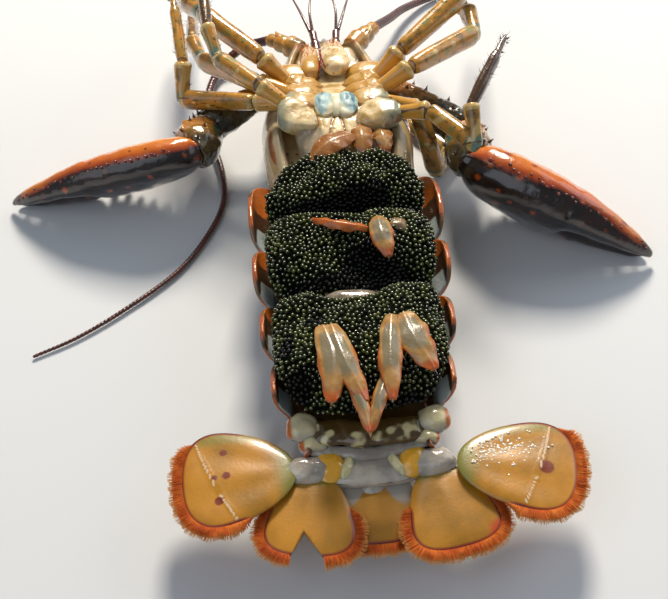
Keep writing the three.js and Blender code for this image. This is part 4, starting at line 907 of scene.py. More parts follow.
SPINES_ON = ((1, 4), (2, 4), (3, 9), (4, 4))
HAIRS_A_LEG = 70
DARK_TIPS = {("right", 5): 0.75, ("left", 5): 1.0, ("right", 3): 0.6, ("right", 2): 0.5}
spine_places = []
hair_places = []
for side in SIDES:
    for pair in (2, 3, 4, 5):
        parts = list(leg_parts(pair, side))
        joints, high = leg_joints(pair, side), LEG_HALF_HEIGHT[pair]
        draw = random.Random(pair * 7 + SIGN[side])
        for k, part in enumerate(parts):
            dark = DARK_TIPS.get((side, pair), 0.25) * (0, 0.1, 0.45, 1, 1, 1)[min(k, 5)]
            paint(part, "far", lambda p: dark)
        leg = joined(f"walking_leg_{pair}_{side}", parts)
        paint(leg, "knee",
              lambda p: max(fade(1.5, 8.5, (p - joints[2]).length),
                            0.6 - smooth(1.5, 6, (p - joints[1]).length)))
        ways = [(joints[k + 1] - joints[k]).normalized() for k in range(5)]

        def past_joint(p, k, way):
            return (p - joints[k]).dot(way) + 0.25 * max(0, (p - joints[k]).length - high * 1.3)

        paint(leg, "joint",
              lambda p: fade(0.2, 0.7, min(abs(past_joint(p, k, ways[k]) - 0.7) for k in (1, 2, 3, 4))))
        paint(leg, "end",
              lambda p: fade(0.8, 2.0, min(abs(past_joint(p, k, ways[k - 1]) + 1.0) for k in (1, 2, 3))))
        paint(leg, "near", lambda p: fade(4, 22, (p - joints[0]).length))
        dress(leg, leg_shell, [f"leg_{pair}_{side}_upper", f"leg_{pair}_{side}_lower"])
        for k, count in SPINES_ON:
            along = (joints[k + 1] - joints[k]).normalized()
            for _ in range(count):
                out = along.cross(Vector((draw.uniform(-1, 1), draw.uniform(-1, 1),
                                          draw.uniform(-0.4, 1)))).normalized()
                root = (joints[k].lerp(joints[k + 1], draw.uniform(0.15, 0.97))
                        + out * high * 0.62 * (0.94 if k < 3 else 0.7))
                turn = facing((out + along * 0.9).normalized(), 0.42, 0, draw.uniform(3.2, 5.5))
                spine_places.append((root, turn, (draw.random(), 0.4)))
        for _ in range(HAIRS_A_LEG):
            k = draw.choice((3, 3, 3, 4))
            along = (joints[k + 1] - joints[k]).normalized()
            out = along.cross(Vector((draw.uniform(-1, 1), draw.uniform(-1, 1),
                                      draw.uniform(-1, 1)))).normalized()
            root = (joints[k].lerp(joints[k + 1], draw.uniform(0.1, 0.98))
                    + out * high * (0.5 if k == 3 else 0.2))
            hair_places.append((root, facing((out + along).normalized(), 0.13, 0, draw.uniform(14, 24)),
                                (draw.random(), 0.7)))
spines = copied("leg_spines", spike_pattern(6, 2, 0.08), spine_places)
dress(spines, dark_spine, [])
hairs = copied("leg_hairs", spike_pattern(3, 2, 0.2), hair_places)
dress(hairs, dark_spine, [])
print("leg spines", len(spine_places), "hairs", len(hair_places))

# %% [markdown]
# ## Jaw legs
# The last pair of mouth legs folds over the mouth. Their broad second article is a cream
# cushion, and its inner edge carries a saw of dark red teeth.

# %% Jaw legs
JAW_LEG = [(29, 6.4, 38.4, 3.0, 2.2), (33, 6.5, 38.6, 4.3, 2.8), (40, 6.4, 36.6, 4.5, 3.1),
           (47, 6, 33.4, 3.8, 3.0), (54, 6, 29.8, 3.3, 2.7),
           (60, 6.6, 26.4, 2.8, 2.4), (64, 7.6, 22.6, 2.0, 1.9)]
# The left one lies over the middle, and the right one is tucked beside it
JAW_LIE = {"right": {"shift": -2.0, "drop": 2.0, "size": 0.84},
           "left": {"shift": -4.4, "drop": 0.0, "size": 1.26}}
JAW_OVER = Vector((0, 0.4, 1))
JAW_PARTS = [(0, 1, 2, 3), (3, 4), (4, 5), (5, 6)]
JAW_TEETH = {"right": 7, "left": 13}
BRISTLES_A_JAW_LEG = 60


def jaw_station(side, k):
    y, x, z, wide, high = JAW_LEG[k]
    lie = JAW_LIE[side]
    return (Vector((SIGN[side] * x + lie["shift"], y, z - lie["drop"])), (wide + PROUD) * lie["size"],
            high + PROUD)


tooth_places = []
setae_places = []
for side in SIDES:
    parts = []
    for n, group in enumerate(JAW_PARTS):
        stations = [jaw_station(side, k) for k in group]
        first, last = stations[0], stations[-1]
        way = (last[0] - first[0]).normalized()
        stations.insert(0, (first[0] - way * 1.6, first[1] * 0.7, first[2] * 0.7))
        stations.append((last[0] + way * 1.2, last[1] * 0.72, last[2] * 0.72))
        part = tube(f"jaw_{n}", stations, JAW_OVER, 36, 40, cap=0.14, power=2.5)
        roughen(part, 5, 0.5, n)
        paint(part, "gold", lambda p: (0.0, 0.7, 1.0, 1.1)[n] if side == "left" else 1.0)
        parts.append(part)
    jaw_leg = joined(f"jaw_leg_{side}", parts)
    paint(jaw_leg, "deep", lambda p: fade(0.2, 1.0, min(abs(p.y - y) for y in (47.0, 54.0, 60.0))))
    paint(jaw_leg, "grey", lambda p: 0.1)
    dress(jaw_leg, ivory, [f"maxilliped_{side}"])
    draw = random.Random(19 + SIGN[side])
    for i in range(JAW_TEETH[side]):
        k = lerp(0.3, 2.8, i / (JAW_TEETH["left"] - 1))
        near, far = jaw_station(side, int(k)), jaw_station(side, int(k) + 1)
        centre, wide, high = (lerp(near[m], far[m], k % 1) for m in range(3))
        out = Vector((-SIGN[side], 0, 0.35)).normalized()
        turn = facing((out + Vector((0, 0.4, 0.5))).normalized(), 0.62, 0, draw.uniform(2.4, 3.4))
        tooth_places.append((centre + out * wide * 0.92, turn, (0.3, 0.3)))
    for i in range(BRISTLES_A_JAW_LEG):
        k = draw.uniform(1.5, 5.9)
        near, far = jaw_station(side, int(k)), jaw_station(side, int(k) + 1)
        centre = near[0].lerp(far[0], k % 1)
        out = Vector((SIGN[side] * draw.uniform(-0.6, 1), draw.uniform(-0.2, 0.8),
                      draw.uniform(0.1, 0.9))).normalized()
        setae_places.append((centre + out * near[2] * 0.9, facing(out, 0.2, 0, draw.uniform(7, 13)),
                             (0.6, 0.6)))
teeth = copied("jaw_teeth", spike_pattern(6, 3, 0.15), tooth_places)
dress(teeth, red_tooth, [])
setae = copied("jaw_bristles", spike_pattern(4, 2, 0.2), setae_places)
dress(setae, fringe_bristle, [])
print("jaw teeth", len(tooth_places))

# %% [markdown]
# ## Claws
# The claws keep the solids' shape, rounded by subdividing and smoothing a copy. In the claw's own
# frame one face is orange and the other nearly black, and they meet in a line of small red
# knobs along the outer edge. The fingers have blunt teeth where they meet.

# %% Claws
CLAWS = {
    "right": {"elbow": (-55, 18, 21), "wrist": (-57.5, -4, 29), "tip": (-137, 0.5, 2.4), "half": 15,
              "thick": 8.8, "line": 0.05},
    "left": {"elbow": (54, 6, 21), "wrist": (51.5, -20, 28), "tip": (120.5, -54, 3), "half": 18,
             "thick": 11.2, "line": 0.1},
}
INNER_SIDE = Vector((0, 0.55, -0.83))
PALM = [(0.0, -0.36, 0.36, 0.62), (0.05, -0.62, 0.62, 0.86), (0.16, -0.9, 0.92, 0.98),
        (0.34, -1, 1.04, 1), (0.53, -0.96, 0.9, 0.88), (0.66, -0.84, -0.14, 0.64),
        (0.8, -0.62, -0.12, 0.48), (0.93, -0.34, -0.08, 0.3), (1.0, -0.1, 0.02, 0.1)]
FINGER_LINE = [(0.56, -0.06), (0.7, -0.1), (0.82, -0.04), (0.95, 0.0)]
OUTER_KNOBS = 30
INNER_KNOBS = 7
CLAW_TEETH = 16


class Claw:
    """A claw's own frame: a to the tip, b to the moving finger, c to the orange face."""

    def __init__(self, side):
        sizes = CLAWS[side]
        self.wrist, self.half, self.thick = Vector(sizes["wrist"]), sizes["half"], sizes["thick"]
        reach = Vector(sizes["tip"]) - self.wrist
        self.long = reach.length
        self.a = reach.normalized()
        self.b = (INNER_SIDE - self.a * INNER_SIDE.dot(self.a)).normalized()
        self.c = self.a.cross(self.b) * SIGN[side]

    def at(self, a, b, c):
        return self.wrist + self.a * a * self.long + self.b * b * self.half + self.c * c * self.thick

    def local(self, point):
        off = point - self.wrist
        return off.dot(self.a) / self.long, off.dot(self.b) / self.half, off.dot(self.c) / self.thick


tubercles = []
claw_teeth = []
for side in SIDES:
    claw = Claw(side)
    draw = random.Random(43 + SIGN[side])
    line = CLAWS[side]["line"]
    for part in ("palm", "finger"):
        piece = skin_of(f"claw_{part}_{side}", f"claw_{side}_{part}", 0.6, 0.3, 10)
        roughen(piece, 7, 0.35, 3)
        roughen(piece, 2.2, 0.08, 5)

        def face(p):
            a, b, c = claw.local(p)
            high = max(0.25, through([(s[0], s[3]) for s in PALM], a))
            return 0.5 + 0.5 * (c - line + 0.12 * math.sin(9 * a)) / high

        paint(piece, "upper", face)
        paint(piece, "tip", lambda p: smooth(0.8, 1.0, claw.local(p)[0]))
        dress(piece, claw_shell, [f"claw_{side}_{part}"])
    for i in range(OUTER_KNOBS):
        a = 0.08 + 0.86 * i / (OUTER_KNOBS - 1) + draw.uniform(-0.01, 0.01)
        b = through([(s[0], s[1]) for s in PALM], a)
        root = claw.at(a, b * 0.985, line + draw.uniform(-0.1, 0.1))
        size = draw.uniform(0.6, 1.0) * (1 - 0.4 * a)
        tubercles.append((root, facing((claw.a * 0.6 - claw.b).normalized(), size, 0, 1.1), (a, 0.2)))
    for i in range(INNER_KNOBS):
        a = 0.08 + 0.42 * i / (INNER_KNOBS - 1)
        b = through([(s[0], s[2]) for s in PALM], a)
        tubercles.append((claw.at(a, b * 0.97, 0.3),
                          facing((claw.a * 0.5 + claw.b).normalized(), 1.9, 0, 1.5), (a, 0.8)))
    for i in range(CLAW_TEETH):
        a = lerp(0.57, 0.95, i / (CLAW_TEETH - 1))
        big = (1.9 if i % 4 == 1 else 1.2) * (1.25 - a) * 1.9
        b = through(FINGER_LINE, a)
        claw_teeth.append((claw.at(a, b - 0.05, 0), facing(claw.b, big, 0, 0.9), (a, 0.3)))
        claw_teeth.append((claw.at(a + 0.012, b + 0.07, 0), facing(-claw.b, big, 0, 0.8), (a, 0.6)))
knobs = copied("claw_tubercles", bead_pattern(), tubercles)
dress(knobs, red_knob, [])
teeth = copied("claw_teeth", bead_pattern(), claw_teeth)
dress(teeth, tooth_ivory, [])
print("claw knobs", len(tubercles), "teeth", len(claw_teeth))

# %% Arms and wrists of the claws
LIT_WAY = Vector((0, 0.77, 0.64))
arm_spines = []
for side in SIDES:
    for part, grain in (("arm", 0.6), ("wrist", 0.55)):
        piece = skin_of(f"claw_{part}_{side}", f"claw_{side}_{part}", grain, 0.3, 8)
        roughen(piece, 6, 0.7, 8)
        roughen(piece, 2.6, 0.35, 2)
        low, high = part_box(f"claw_{side}_{part}")
        middle = (low + high) / 2 / MM
        # Painted light: the side facing LIT_WAY, towards the key light, is painted orange and the far side
        # dark
        paint(piece, "upper",
              lambda p: 0.5 + (p - middle).dot(LIT_WAY) / (22 if part == "arm" else 18)
              + (0.12 if part == "wrist" else 0))
        paint(piece, "teal",
              lambda p: fade(2, 8, (p - middle - Vector((SIGN[side] * -9, 0, 3))).length)
              if part == "wrist" else 0)
        dress(piece, arm_shell, [f"claw_{side}_{part}"])
        for point, normal, uv in scatter(piece, 6.0, 97, keep=lambda p, n: n.dot(LIT_WAY) > 0.1):
            way = (normal + Vector((0, 0.4, 0))).normalized()
            arm_spines.append((point, facing(way, 0.75, 0, 2.6), uv))
spikes = copied("arm_spines", spike_pattern(7, 3, 0.12), arm_spines)
dress(spikes, dark_spine, [])
print("arm spines", len(arm_spines))

# %% [markdown]
# ## Carapace
# The carapace is one shell that wraps the thorax, open along the belly, where its lips hold the
# sternum. Its half section is the same few shares of width and height as in the solid,
# run smoothly round, and the furrow that marks off the head is pressed in.

# %% Carapace
CARAPACE_HALF = [(0.2, 0), (0.46, 0.02), (0.69, 0.1), (0.87, 0.26), (0.97, 0.46), (1, 0.64),
                 (0.955, 0.82), (0.87, 0.95), (0.785, 1), (0.71, 0.95), (0.68, 0.84), (0.3, 0.82)]
CARAPACE_WIDTH = [(-30, 27.5), (-18, 29.5), (5, 30.5), (28, 28.5), (46, 24), (60, 19), (70, 15)]
CARAPACE_BACK = [(-30, 1.4), (-24, 0.1), (42, 0.1), (56, 1.8), (70, 5)]
CARAPACE_LIP = [(-30, 37.5), (-12, 41), (2, 37), (14, 33.5), (24, 29), (34, 26), (48, 25), (60, 24.5),
                (70, 23.5)]
CARAPACE_ENDS = (-30.0, 70.6)
section = [*CARAPACE_HALF, *[(-x, z) for x, z in reversed(CARAPACE_HALF)]]
section.append(section[0])
section_x = [(i / (len(section) - 1), x) for i, (x, z) in enumerate(section)]
section_z = [(i / (len(section) - 1), z) for i, (x, z) in enumerate(section)]


def furrow_depth(y, z, lip):
    """The neck furrow and the line down the back, in mm."""
    neck = 21 + 12 * smooth(0, 1, z / lip)
    gill = 14 - 26 * (z / lip - 0.2)
    return (1.5 * hump(y - neck, 1.3)
            + 0.5 * hump(y - gill, 0.9) * smooth(0.15, 0.3, z / lip) * fade(0.5, 0.7, z / lip))


@lru_cache(maxsize=None)
def carapace_row(v):
    y = lerp(*CARAPACE_ENDS, 0.5 - 0.5 * math.cos(math.pi * v))
    end = min((y - CARAPACE_ENDS[0]) / 1.4, (CARAPACE_ENDS[1] - y) / 4)
    close = math.sqrt(max(0.0, 1 - (1 - end) ** 2)) if end < 1 else 1.0
    return y, close, through(CARAPACE_WIDTH, y) + 0.1, through(CARAPACE_BACK, y), through(CARAPACE_LIP, y)


def carapace_place(u, v):
    y, close, half, low, lip = carapace_row(round(v, 5))
    x, z = half * through(section_x, u), lerp(low, lip, through(section_z, u))
    press = furrow_depth(y, z, lip) * smooth(0.2, 0.5, abs(x) / half)
    x -= math.copysign(min(press, abs(x)), x)
    core = lerp(low, lip, 0.5)
    return (x * close, y, core + (z - core) * close)


carapace = grid_piece("carapace_shell", 150, 130, carapace_place)
roughen(carapace, 9, 0.35, 4)
paint(carapace, "back", lambda p: fade(5, 20, p.z + 3 * noise.noise(p / 9)))
paint(carapace, "lip",
      lambda p: smooth(-2.4, -0.6, p.z - through(CARAPACE_LIP, p.y)) * smooth(15, 20, abs(p.x)))
paint(carapace, "streak",
      lambda p: smooth(-0.1, 0.5, noise.noise(Vector((p.y / 16, p.z / 5, p.x / 40)))) * smooth(14, 24, p.z))
dress(carapace, flank_shell, ["carapace"])

ROSTRUM = [(58, 10, 4, 7.2), (70, 6.6, 3.2, 7), (80, 4.4, 2.4, 6), (90, 2.6, 1.5, 4.8),
           (95.6, 0.5, 0.4, 3.6)]
rostrum = tube("rostrum", [(Vector((0, y, z)), wide, high) for y, wide, high, z in ROSTRUM], UP, 30, 60,
               power=2.0, cap=0.02)
paint(rostrum, "back", lambda p: fade(3, 9, p.z))
dress(rostrum, flank_shell, [])
rostrum_spines = []
for sign in (-1, 1):
    for y, x in ((79, 4.4), (85, 3.4), (90.5, 2.4)):
        rostrum_spines.append((Vector((sign * (x - 0.8), y, 5)),
                               facing(Vector((sign * 0.55, 1, -0.1)).normalized(), 1.05, 0, 3.4),
                               (0.2, 0.2)))
    rostrum_spines.append((Vector((sign * 12.6, 68, 6.5)),
                           facing(Vector((sign * 0.2, 1, -0.05)).normalized(), 1.4, 0, 4.0), (0.2, 0.2)))
spikes = copied("rostrum_spines", spike_pattern(10, 5, 0.08), rostrum_spines)
dress(spikes, dark_spine, [])
print("carapace corners", len(carapace.data.vertices))

# %% [markdown]
# ## Eyes and feelers
# The eyes are black domes on short stalks beside the rostrum. The long feelers start in thick
# jointed stalks with a pointed scale, and run out as whips of hundreds of tiny rings, which a
# tube with a fine ripple along it shows.

# %% Eyes
EYE_SOCKET = 70.0
for side in SIDES:
    socket = Vector((SIGN[side] * 9.2, EYE_SOCKET + 0.4, 8))
    outward = Vector((SIGN[side] * 0.42, 0.9, 0.08)).normalized()
    globe = socket + outward * 7.4
    stalk = tube(f"eye_stalk_{side}",
                 [(socket - outward * 0.2, 2.3, 2.3), (socket + outward * 2, 2.5, 2.5),
                  (socket + outward * 4.6, 3.1, 3.1), (socket + outward * 6, 2.8, 2.8)], UP, 26, 30)
    paint(stalk, "upper", lambda p: 0.7)
    dress(stalk, arm_shell, [])
    ball = tube(f"eye_{side}_ball",
                [(globe - outward * 2.6, 2.4, 2.4), (globe - outward * 1.2, 3.7, 3.9),
                 (globe + outward, 3.8, 4.0), (globe + outward * 3.6, 1.6, 1.6)], UP, 32, 32, cap=0.3)
    dress(ball, eye_glass, [f"eye_{side}"])

# %% Feelers
STALK_ENDS = {"right": (-25, 83.5, 14.5), "left": (23, 87, 15)}
WHIP_ROUTE = {
    "right": [(-38, 86, 9), (-49, 78, 4.4), (-55, 60, 2.3), (-54, 36, 2.1), (-49, 10, 1.9),
              (-49, -8, 1.8), (-56.5, -27, 1.6), (-68, -44, 1.5), (-89, -62, 1.3),
              (-106, -73.5, 1.1), (-122, -81, 0.9)],
    "left": [(31, 98, 11), (40, 112, 6), (54, 124, 2.4), (76, 133, 2.2), (104, 138, 2.0),
             (134, 136, 1.7), (160, 126, 1.4), (180, 110, 1.0)],
}
RING = 1.7
STALK_ARTICLES = [(0.0, 0.42, 4.7, 5.0), (0.4, 0.74, 4.2, 3.9), (0.72, 1.02, 3.2, 3.0)]


def ringed(name, points, base, tip):
    """A whip of fine rings, thinner towards its tip."""
    long = sum((b - a).length for a, b in zip(points, points[1:]))
    walked = [0.0]
    for a, b in zip(points, points[1:]):
        walked.append(walked[-1] + (b - a).length / long)
    stations = [(p, lerp(base, tip, t ** 0.8), lerp(base, tip, t ** 0.8)) for p, t in zip(points, walked)]
    rings = int(long / RING)
    ripple = 0.1 * base / 2.3
    return tube(name, stations, UP, 9, rings * 4, cap=0.002, even=True,
                swell=lambda u, v: ripple * math.cos(2 * math.pi * v * rings))


for side in SIDES:
    root, end = Vector((SIGN[side] * 10.8, EYE_SOCKET + 0.4, 17.6)), Vector(STALK_ENDS[side])
    parts = []
    for n, (a, b, near, far) in enumerate(STALK_ARTICLES):
        mid = root.lerp(end, (a + b) / 2)
        parts.append(tube(f"stalk_{n}",
                          [(root.lerp(end, a), near * 0.86, near * 0.82), (mid, near, near * 0.94),
                           (root.lerp(end, b), far, far * 0.95),
                           (root.lerp(end, b + 0.02), far * 0.7, far * 0.68)], UP, 28, 30, cap=0.12))
    blade = root.lerp(end, 0.2) + Vector((SIGN[side] * 3, 0, 1))
    tip = blade + Vector((SIGN[side] * 0.55, 1, 0.1)).normalized() * 12
    parts.append(tube("scale",
                      [(blade - (tip - blade) * 0.15, 2.4, 1.6), (blade.lerp(tip, 0.4), 2.3, 1.2),
                       (tip, 0.3, 0.3)], UP, 20, 30, cap=0.02))
    base = joined(f"feeler_base_{side}", parts)
    paint(base, "far", lambda p: 0.35)
    dress(base, leg_shell, [f"antenna_base_{side}"])
    whip = ringed(f"feeler_whip_{side}", [end, *[Vector(p) for p in WHIP_ROUTE[side]]], 2.2, 0.6)
    dress(whip, whip_horn, [f"antenna_whip_{side}"])
    start, stop = Vector((SIGN[side] * 4.2, EYE_SOCKET + 0.4, 16)), Vector((SIGN[side] * 5.4, 84, 17))
    small = [
        tube("small_stalk_a",
             [(start, 2.0, 1.9), (start.lerp(stop, 0.45), 2.1, 1.9), (start.lerp(stop, 0.52), 1.6, 1.5)],
             UP, 20, 24),
        tube("small_stalk_b",
             [(start.lerp(stop, 0.48), 1.6, 1.5), (start.lerp(stop, 0.95), 1.7, 1.6), (stop, 1.3, 1.2)],
             UP, 20, 24),
        ringed("small_whip_a", [stop, Vector((SIGN[side] * 6, 96, 20)), Vector((SIGN[side] * 4, 112, 20))],
               0.8, 0.35),
        ringed("small_whip_b",
               [stop + Vector((SIGN[side], 0, 0)), Vector((SIGN[side] * 10, 97, 18)),
                Vector((SIGN[side] * 14, 114, 16))], 0.9, 0.35),
    ]
    dress(joined(f"small_feeler_{side}", small), whip_horn, [f"antennule_{side}"])
print("feelers done")

# %% [markdown]
# ## The eggs
# A berried female carries thousands of eggs in rolls glued to her swimmerets. Each egg is a
# dark pearl about 1.6 mm across. The rolls could be one bumpy surface, but only real beads
# give the pebbled edge from the side. So each roll is a lumpy grid, and beads are scattered
# on it as closely as eggs pack. Every bead has a pale cap that leans up and headwards, a
# painted highlight that stands for the sun's point of light, and the dark bands between the
# rolls are painted shade.

# %% Egg rolls
EGG_WAIST = 31
EGG_FLOOR = 22.4
EGG_RADIUS = 0.82
EGG_SPACING = 1.36
EGG_LEAN = 0.3
# Painted highlight: the pale cap on each bead leans this way, up and towards the head, where the key light
# stands
HIGHLIGHT_CAP_WAY = Vector((0, 0.25, 0.35))
TOP_SHARE = 0.78
FRONT_EDGE = [(-30, -46), (-27, -40), (-22.5, -33), (-16, -28), (-10, -22.5), (-5, -16.5),
              (-1, -13.6), (1.6, -19), (5, -25.5), (10, -24.6), (17, -26), (22.5, -30),
              (25, -33.6), (28, -41), (30, -47)]
GAP_EDGE = [(-30, -91.5), (-17, -92), (-12, -96), (0, -97.2), (8, -95), (13, -91), (30, -90)]
LOW_EDGE = [(-30, -128), (-22, -135), (-10, -138.5), (4, -138), (14, -136.5), (22, -134), (30, -127)]
EGG_ROLLS = [
    {"node": "egg_mass_front", "ahead": FRONT_EDGE, "behind": [(-30, -55.4), (30, -55.8)], "middle": -42,
     "half": 29.6, "top": 45.8},
    {"node": "egg_mass_middle", "ahead": [(-30, -56.6), (0, -56.2), (30, -57)],
     "behind": [(-30, -90.4), (30, -89)], "middle": -72, "half": 30.2, "top": 45.6},
    {"node": "egg_mass_rear", "ahead": GAP_EDGE, "behind": LOW_EDGE, "middle": -113, "half": 29.4,
     "top": 45.0},
]
# Places where the rolls sink, as x, y, reach along x and y, and depth
HOLLOWS = [
    (4, -51, 15, 4.5, 7.5), (-25, -50, 7, 3, 5.0), (21, -52, 6, 3, 4), (9, -82, 13, 6, 7.5),
    (23, -85, 6, 4, 5.0), (-20, -86, 8, 3.5, 4.0), (-2, -62, 9, 2.5, 3.0), (-19, -133, 8, 6, 4.5),
    (17, -133.5, 9, 6, 5), (-6, -101, 7, 2.5, 3), (0, -137, 12, 4, 3.5), (-14, -37, 3, 6, 2.2),
    (14, -40, 3, 6, 2.2), (-16, -73, 3, 8, 2.4), (-20, -112, 3, 9, 2.2), (20, -108, 3, 8, 2.2),
    (4, -33, 2.5, 5, 2.0),
]
# Painted shade: dark bands where the photographed rolls lie in shadow and are nearly black
PAINTED_SHADE_BANDS = [
    (-14, -52.5, 15, 3.6), (4, -49.8, 13, 5.4), (11, -48.5, 5, 6.0), (3.5, -82, 9, 8),
    (12, -84, 12, 5), (8.5, -78, 4, 6), (-12, -87.5, 14, 2.6), (-15, -108.5, 5, 2.4),
    (-25, -118, 3, 5), (-22, -131, 6, 5.5), (17.5, -137, 9, 4.5), (0, -139, 9, 3),
]
LUMP_SIZES = [(19, 2.6), (9, 1.9), (4.6, 0.8)]


def egg_roll_place(roll):
    def place(u, v):
        c, s = superellipse(2 * math.pi * u, 4.5)
        out = min(1, v / TOP_SHARE)
        w = out * s
        x = roll["half"] * out * c
        edge = through(roll["ahead"] if w > 0 else roll["behind"], x)
        y = lerp(roll["middle"], edge, abs(w))
        fall = 0.5 * abs(w) ** 7 if w > 0 else 0.8 * abs(w) ** 2.8
        dome_share = max(0.0, 1 - 0.55 * abs(out * c) ** 6 - fall) ** 0.7
        z = lerp(EGG_WAIST, roll["top"], dome_share)
        if v > TOP_SHARE:
            under = (v - TOP_SHARE) / (1 - TOP_SHARE)
            inward = lerp(1, 0.72, smooth(0, 0.6, under)) * fade(0.6, 1, under)
            return (x * inward, lerp(roll["middle"], y, inward), lerp(z, EGG_FLOOR, smooth(0, 0.7, under)))
        return (x, y, z)

    return place


def lumpy(point):
    rise = sum(noise.noise(point / size + Vector((size, 0, 3))) * depth for size, depth in LUMP_SIZES)
    sunk = sum(depth * math.exp(-((point.x - x) / rx) ** 2 - ((point.y - y) / ry) ** 2)
               for x, y, rx, ry, depth in HOLLOWS)
    return min(1.0, rise) - sunk


def painted_shade(point):
    return min(1.0, sum(math.exp(-(((point.x - x) / rx) ** 2 + ((point.y - y) / ry) ** 2) ** 1.5)
                        for x, y, rx, ry in PAINTED_SHADE_BANDS))


egg_count = 0
for number, roll in enumerate(EGG_ROLLS):
    ground = grid_piece(f"{roll['node']}_ground", 110, 70, egg_roll_place(roll))
    for corner in ground.data.vertices:
        corner.co.z += lumpy(corner.co / MM) * MM * smooth(25, 35, corner.co.z / MM)
    dress(ground, egg_ground_shade, [roll["node"]])
    spots = scatter(ground, EGG_SPACING, 11 + number, keep=lambda p, n: p.z > 25 and n.z > -0.4)
    draw = random.Random(71 + number)
    places = []
    for point, normal, uv in spots:
        lean = Vector([draw.uniform(-EGG_LEAN, EGG_LEAN) for _ in range(3)]) + HIGHLIGHT_CAP_WAY
        turn = facing((normal + lean).normalized(), EGG_RADIUS * draw.uniform(0.9, 1.06),
                      draw.uniform(0, 6))
        places.append((point + normal * 0.1, turn, uv))
    beads = copied(f"{roll['node']}_beads", bead_pattern(), places)
    # The sunk mask is painted shade: beads in the shadowed bands turn near black and lose their pale caps
    paint(beads, "sunk", painted_shade)
    dress(beads, egg_pearl, [])
    egg_count += len(places)

gap_skin = dome("egg_gap_skin", Vector((-1, -93.6, 34)), 15, 6, 5.4, 3)
roughen(gap_skin, 7, 0.5, 2)
paint(gap_skin, "brown", lambda p: 0.62)
dress(gap_skin, clear_skin, [])
print("eggs", egg_count)

# %% [markdown]
# ## The tail fan
# Five leaves of amber horn: the telson in the middle, and an inner and an outer leaf on each
# side. Each is a thin cushion with a dark rim line, edged by a fringe of orange-red bristles
# that a bump could only hint at. A leaf is a grid laid round its middle, over the top
# and back underneath, so that its edge is round. The notch that fishers cut in one
# inner leaf is a real cut, made with a Boolean.

# %% Tail leaves
TAIL_END = -147.0
FAN_LEAVES = {
    "telson": {"root": (0.8, 1.4), "turn": -90, "length": 33, "width": 25.5, "taper": 0.05, "level": 15.8,
               "thick": 3.6, "drop": 1.2, "power": 3.2},
    "endopod_right": {"root": (-18.6, -6), "turn": -98, "length": 30, "width": 27, "taper": 0.34,
                      "level": 19.2, "thick": 3.0, "drop": 1.4, "power": 2.7},
    "endopod_left": {"root": (21.4, -6), "turn": -79, "length": 31, "width": 27, "taper": 0.34,
                     "level": 19.2, "thick": 3.0, "drop": 1.4, "power": 2.7},
    "exopod_right": {"root": (-24.6, -6), "turn": -178, "length": 38, "width": 34, "taper": 0.32,
                     "level": 22.4, "thick": 3.0, "drop": 1.4, "power": 2.35},
    "exopod_left": {"root": (28.4, -7), "turn": -8, "length": 39.6, "width": 32, "taper": 0.32,
                    "level": 22.4, "thick": 3.0, "drop": 1.4, "power": 2.35},
}
NOTCHED_LEAF = "endopod_right"
NOTCH = {"x": -23.3, "y": -173.9, "wide": 8.6, "deep": 14}
FREE_EDGE = -0.15
RIM_POINTS = 360
SUTURE = {"exopod_right": (27.0, -0.4), "exopod_left": (26.5, 0.3)}
FRECKLES = [(-48.4, -144.6, 1.5), (-47.5, -153.6, 1.6), (-51.4, -154.1, 1.2),
            (-49.9, -162.5, 1.8), (57.2, -159.0, 2.8)]
BLUSH = (42.0, -180.0, 7.0)


class Leaf:
    """A tail leaf's own frame: p runs out from its root, q across it."""

    def __init__(self, root, turn, length, width, taper, level, thick, drop, power):
        self.start = Vector((root[0], TAIL_END + root[1], 0))
        self.along = Vector((math.cos(math.radians(turn)), math.sin(math.radians(turn)), 0))
        self.across = Vector((-self.along.y, self.along.x, 0))
        self.length, self.width, self.taper, self.power = length, width, taper, power
        self.level, self.thick, self.drop = level, thick, drop
        self.tree = KDTree(RIM_POINTS)
        for i in range(RIM_POINTS):
            self.tree.insert((*self.edge(2 * math.pi * i / RIM_POINTS), 0), i)
        self.tree.balance()

    def edge(self, angle):
        c, s = superellipse(angle, self.power)
        return (self.length / 2 * (1 + c), self.width / 2 * s * (1 + self.taper * c))

    def place(self, p, q, lift):
        height = self.level - self.drop * (p / self.length) ** 2 - 0.9 * (q / self.width) ** 2 + lift
        return self.start + self.along * p + self.across * q + Vector((0, 0, height))

    def local(self, point):
        flat = point - self.start
        return flat.dot(self.along), flat.dot(self.across)

    def from_rim(self, point):
        p, q = self.local(point)
        return self.tree.find((p, q, 0))[2]

    def free(self, angle):
        outwards = superellipse(angle, self.power)[0]
        return (smooth(FREE_EDGE - 0.1, FREE_EDGE + 0.25, outwards)
                * fade(0.3, 0.44, self.headwards(*self.edge(angle))))

    def headwards(self, p, q):
        """How far a place lies towards the animal's head, as a share of the leaf."""
        return self.along.y * (p - self.length / 2) / self.length + self.across.y * q / self.width


def ribs(p, q, length):
    """Low ridges that fan out from a leaf's root."""
    turn = math.atan2(q, p + 4)
    return 0.22 * math.cos(turn * 11) * smooth(0.1, 0.5, p / length)


def suture_line(name, p, q):
    """How far past its leaf's suture a point lies; the suture slants and is a little bowed."""
    at, slant = SUTURE[name]
    return p - at - slant * q - 1.2 * math.cos(q / 10)


def leaf_surface(leaf, name):
    def place(u, v):
        p, q = leaf.edge(2 * math.pi * u)
        share = math.sin(math.pi * v)
        p, q = lerp(leaf.length / 2, p, share), q * share
        face = 1 if v < 0.5 else -1
        half = leaf.thick / 2 * (1 - share ** 5) ** 0.5 * lerp(1, 0.75, p / leaf.length)
        lift = face * (half + (1 - share ** 4) * ribs(p, q, leaf.length))
        if name in SUTURE:
            off = suture_line(name, p, q)
            lift += face * (0.16 * hump(off + 0.6, 0.5) - 0.3 * smooth(-0.3, 0.4, off)) * (1 - share ** 4)
        return leaf.place(p, q, lift)

    return place


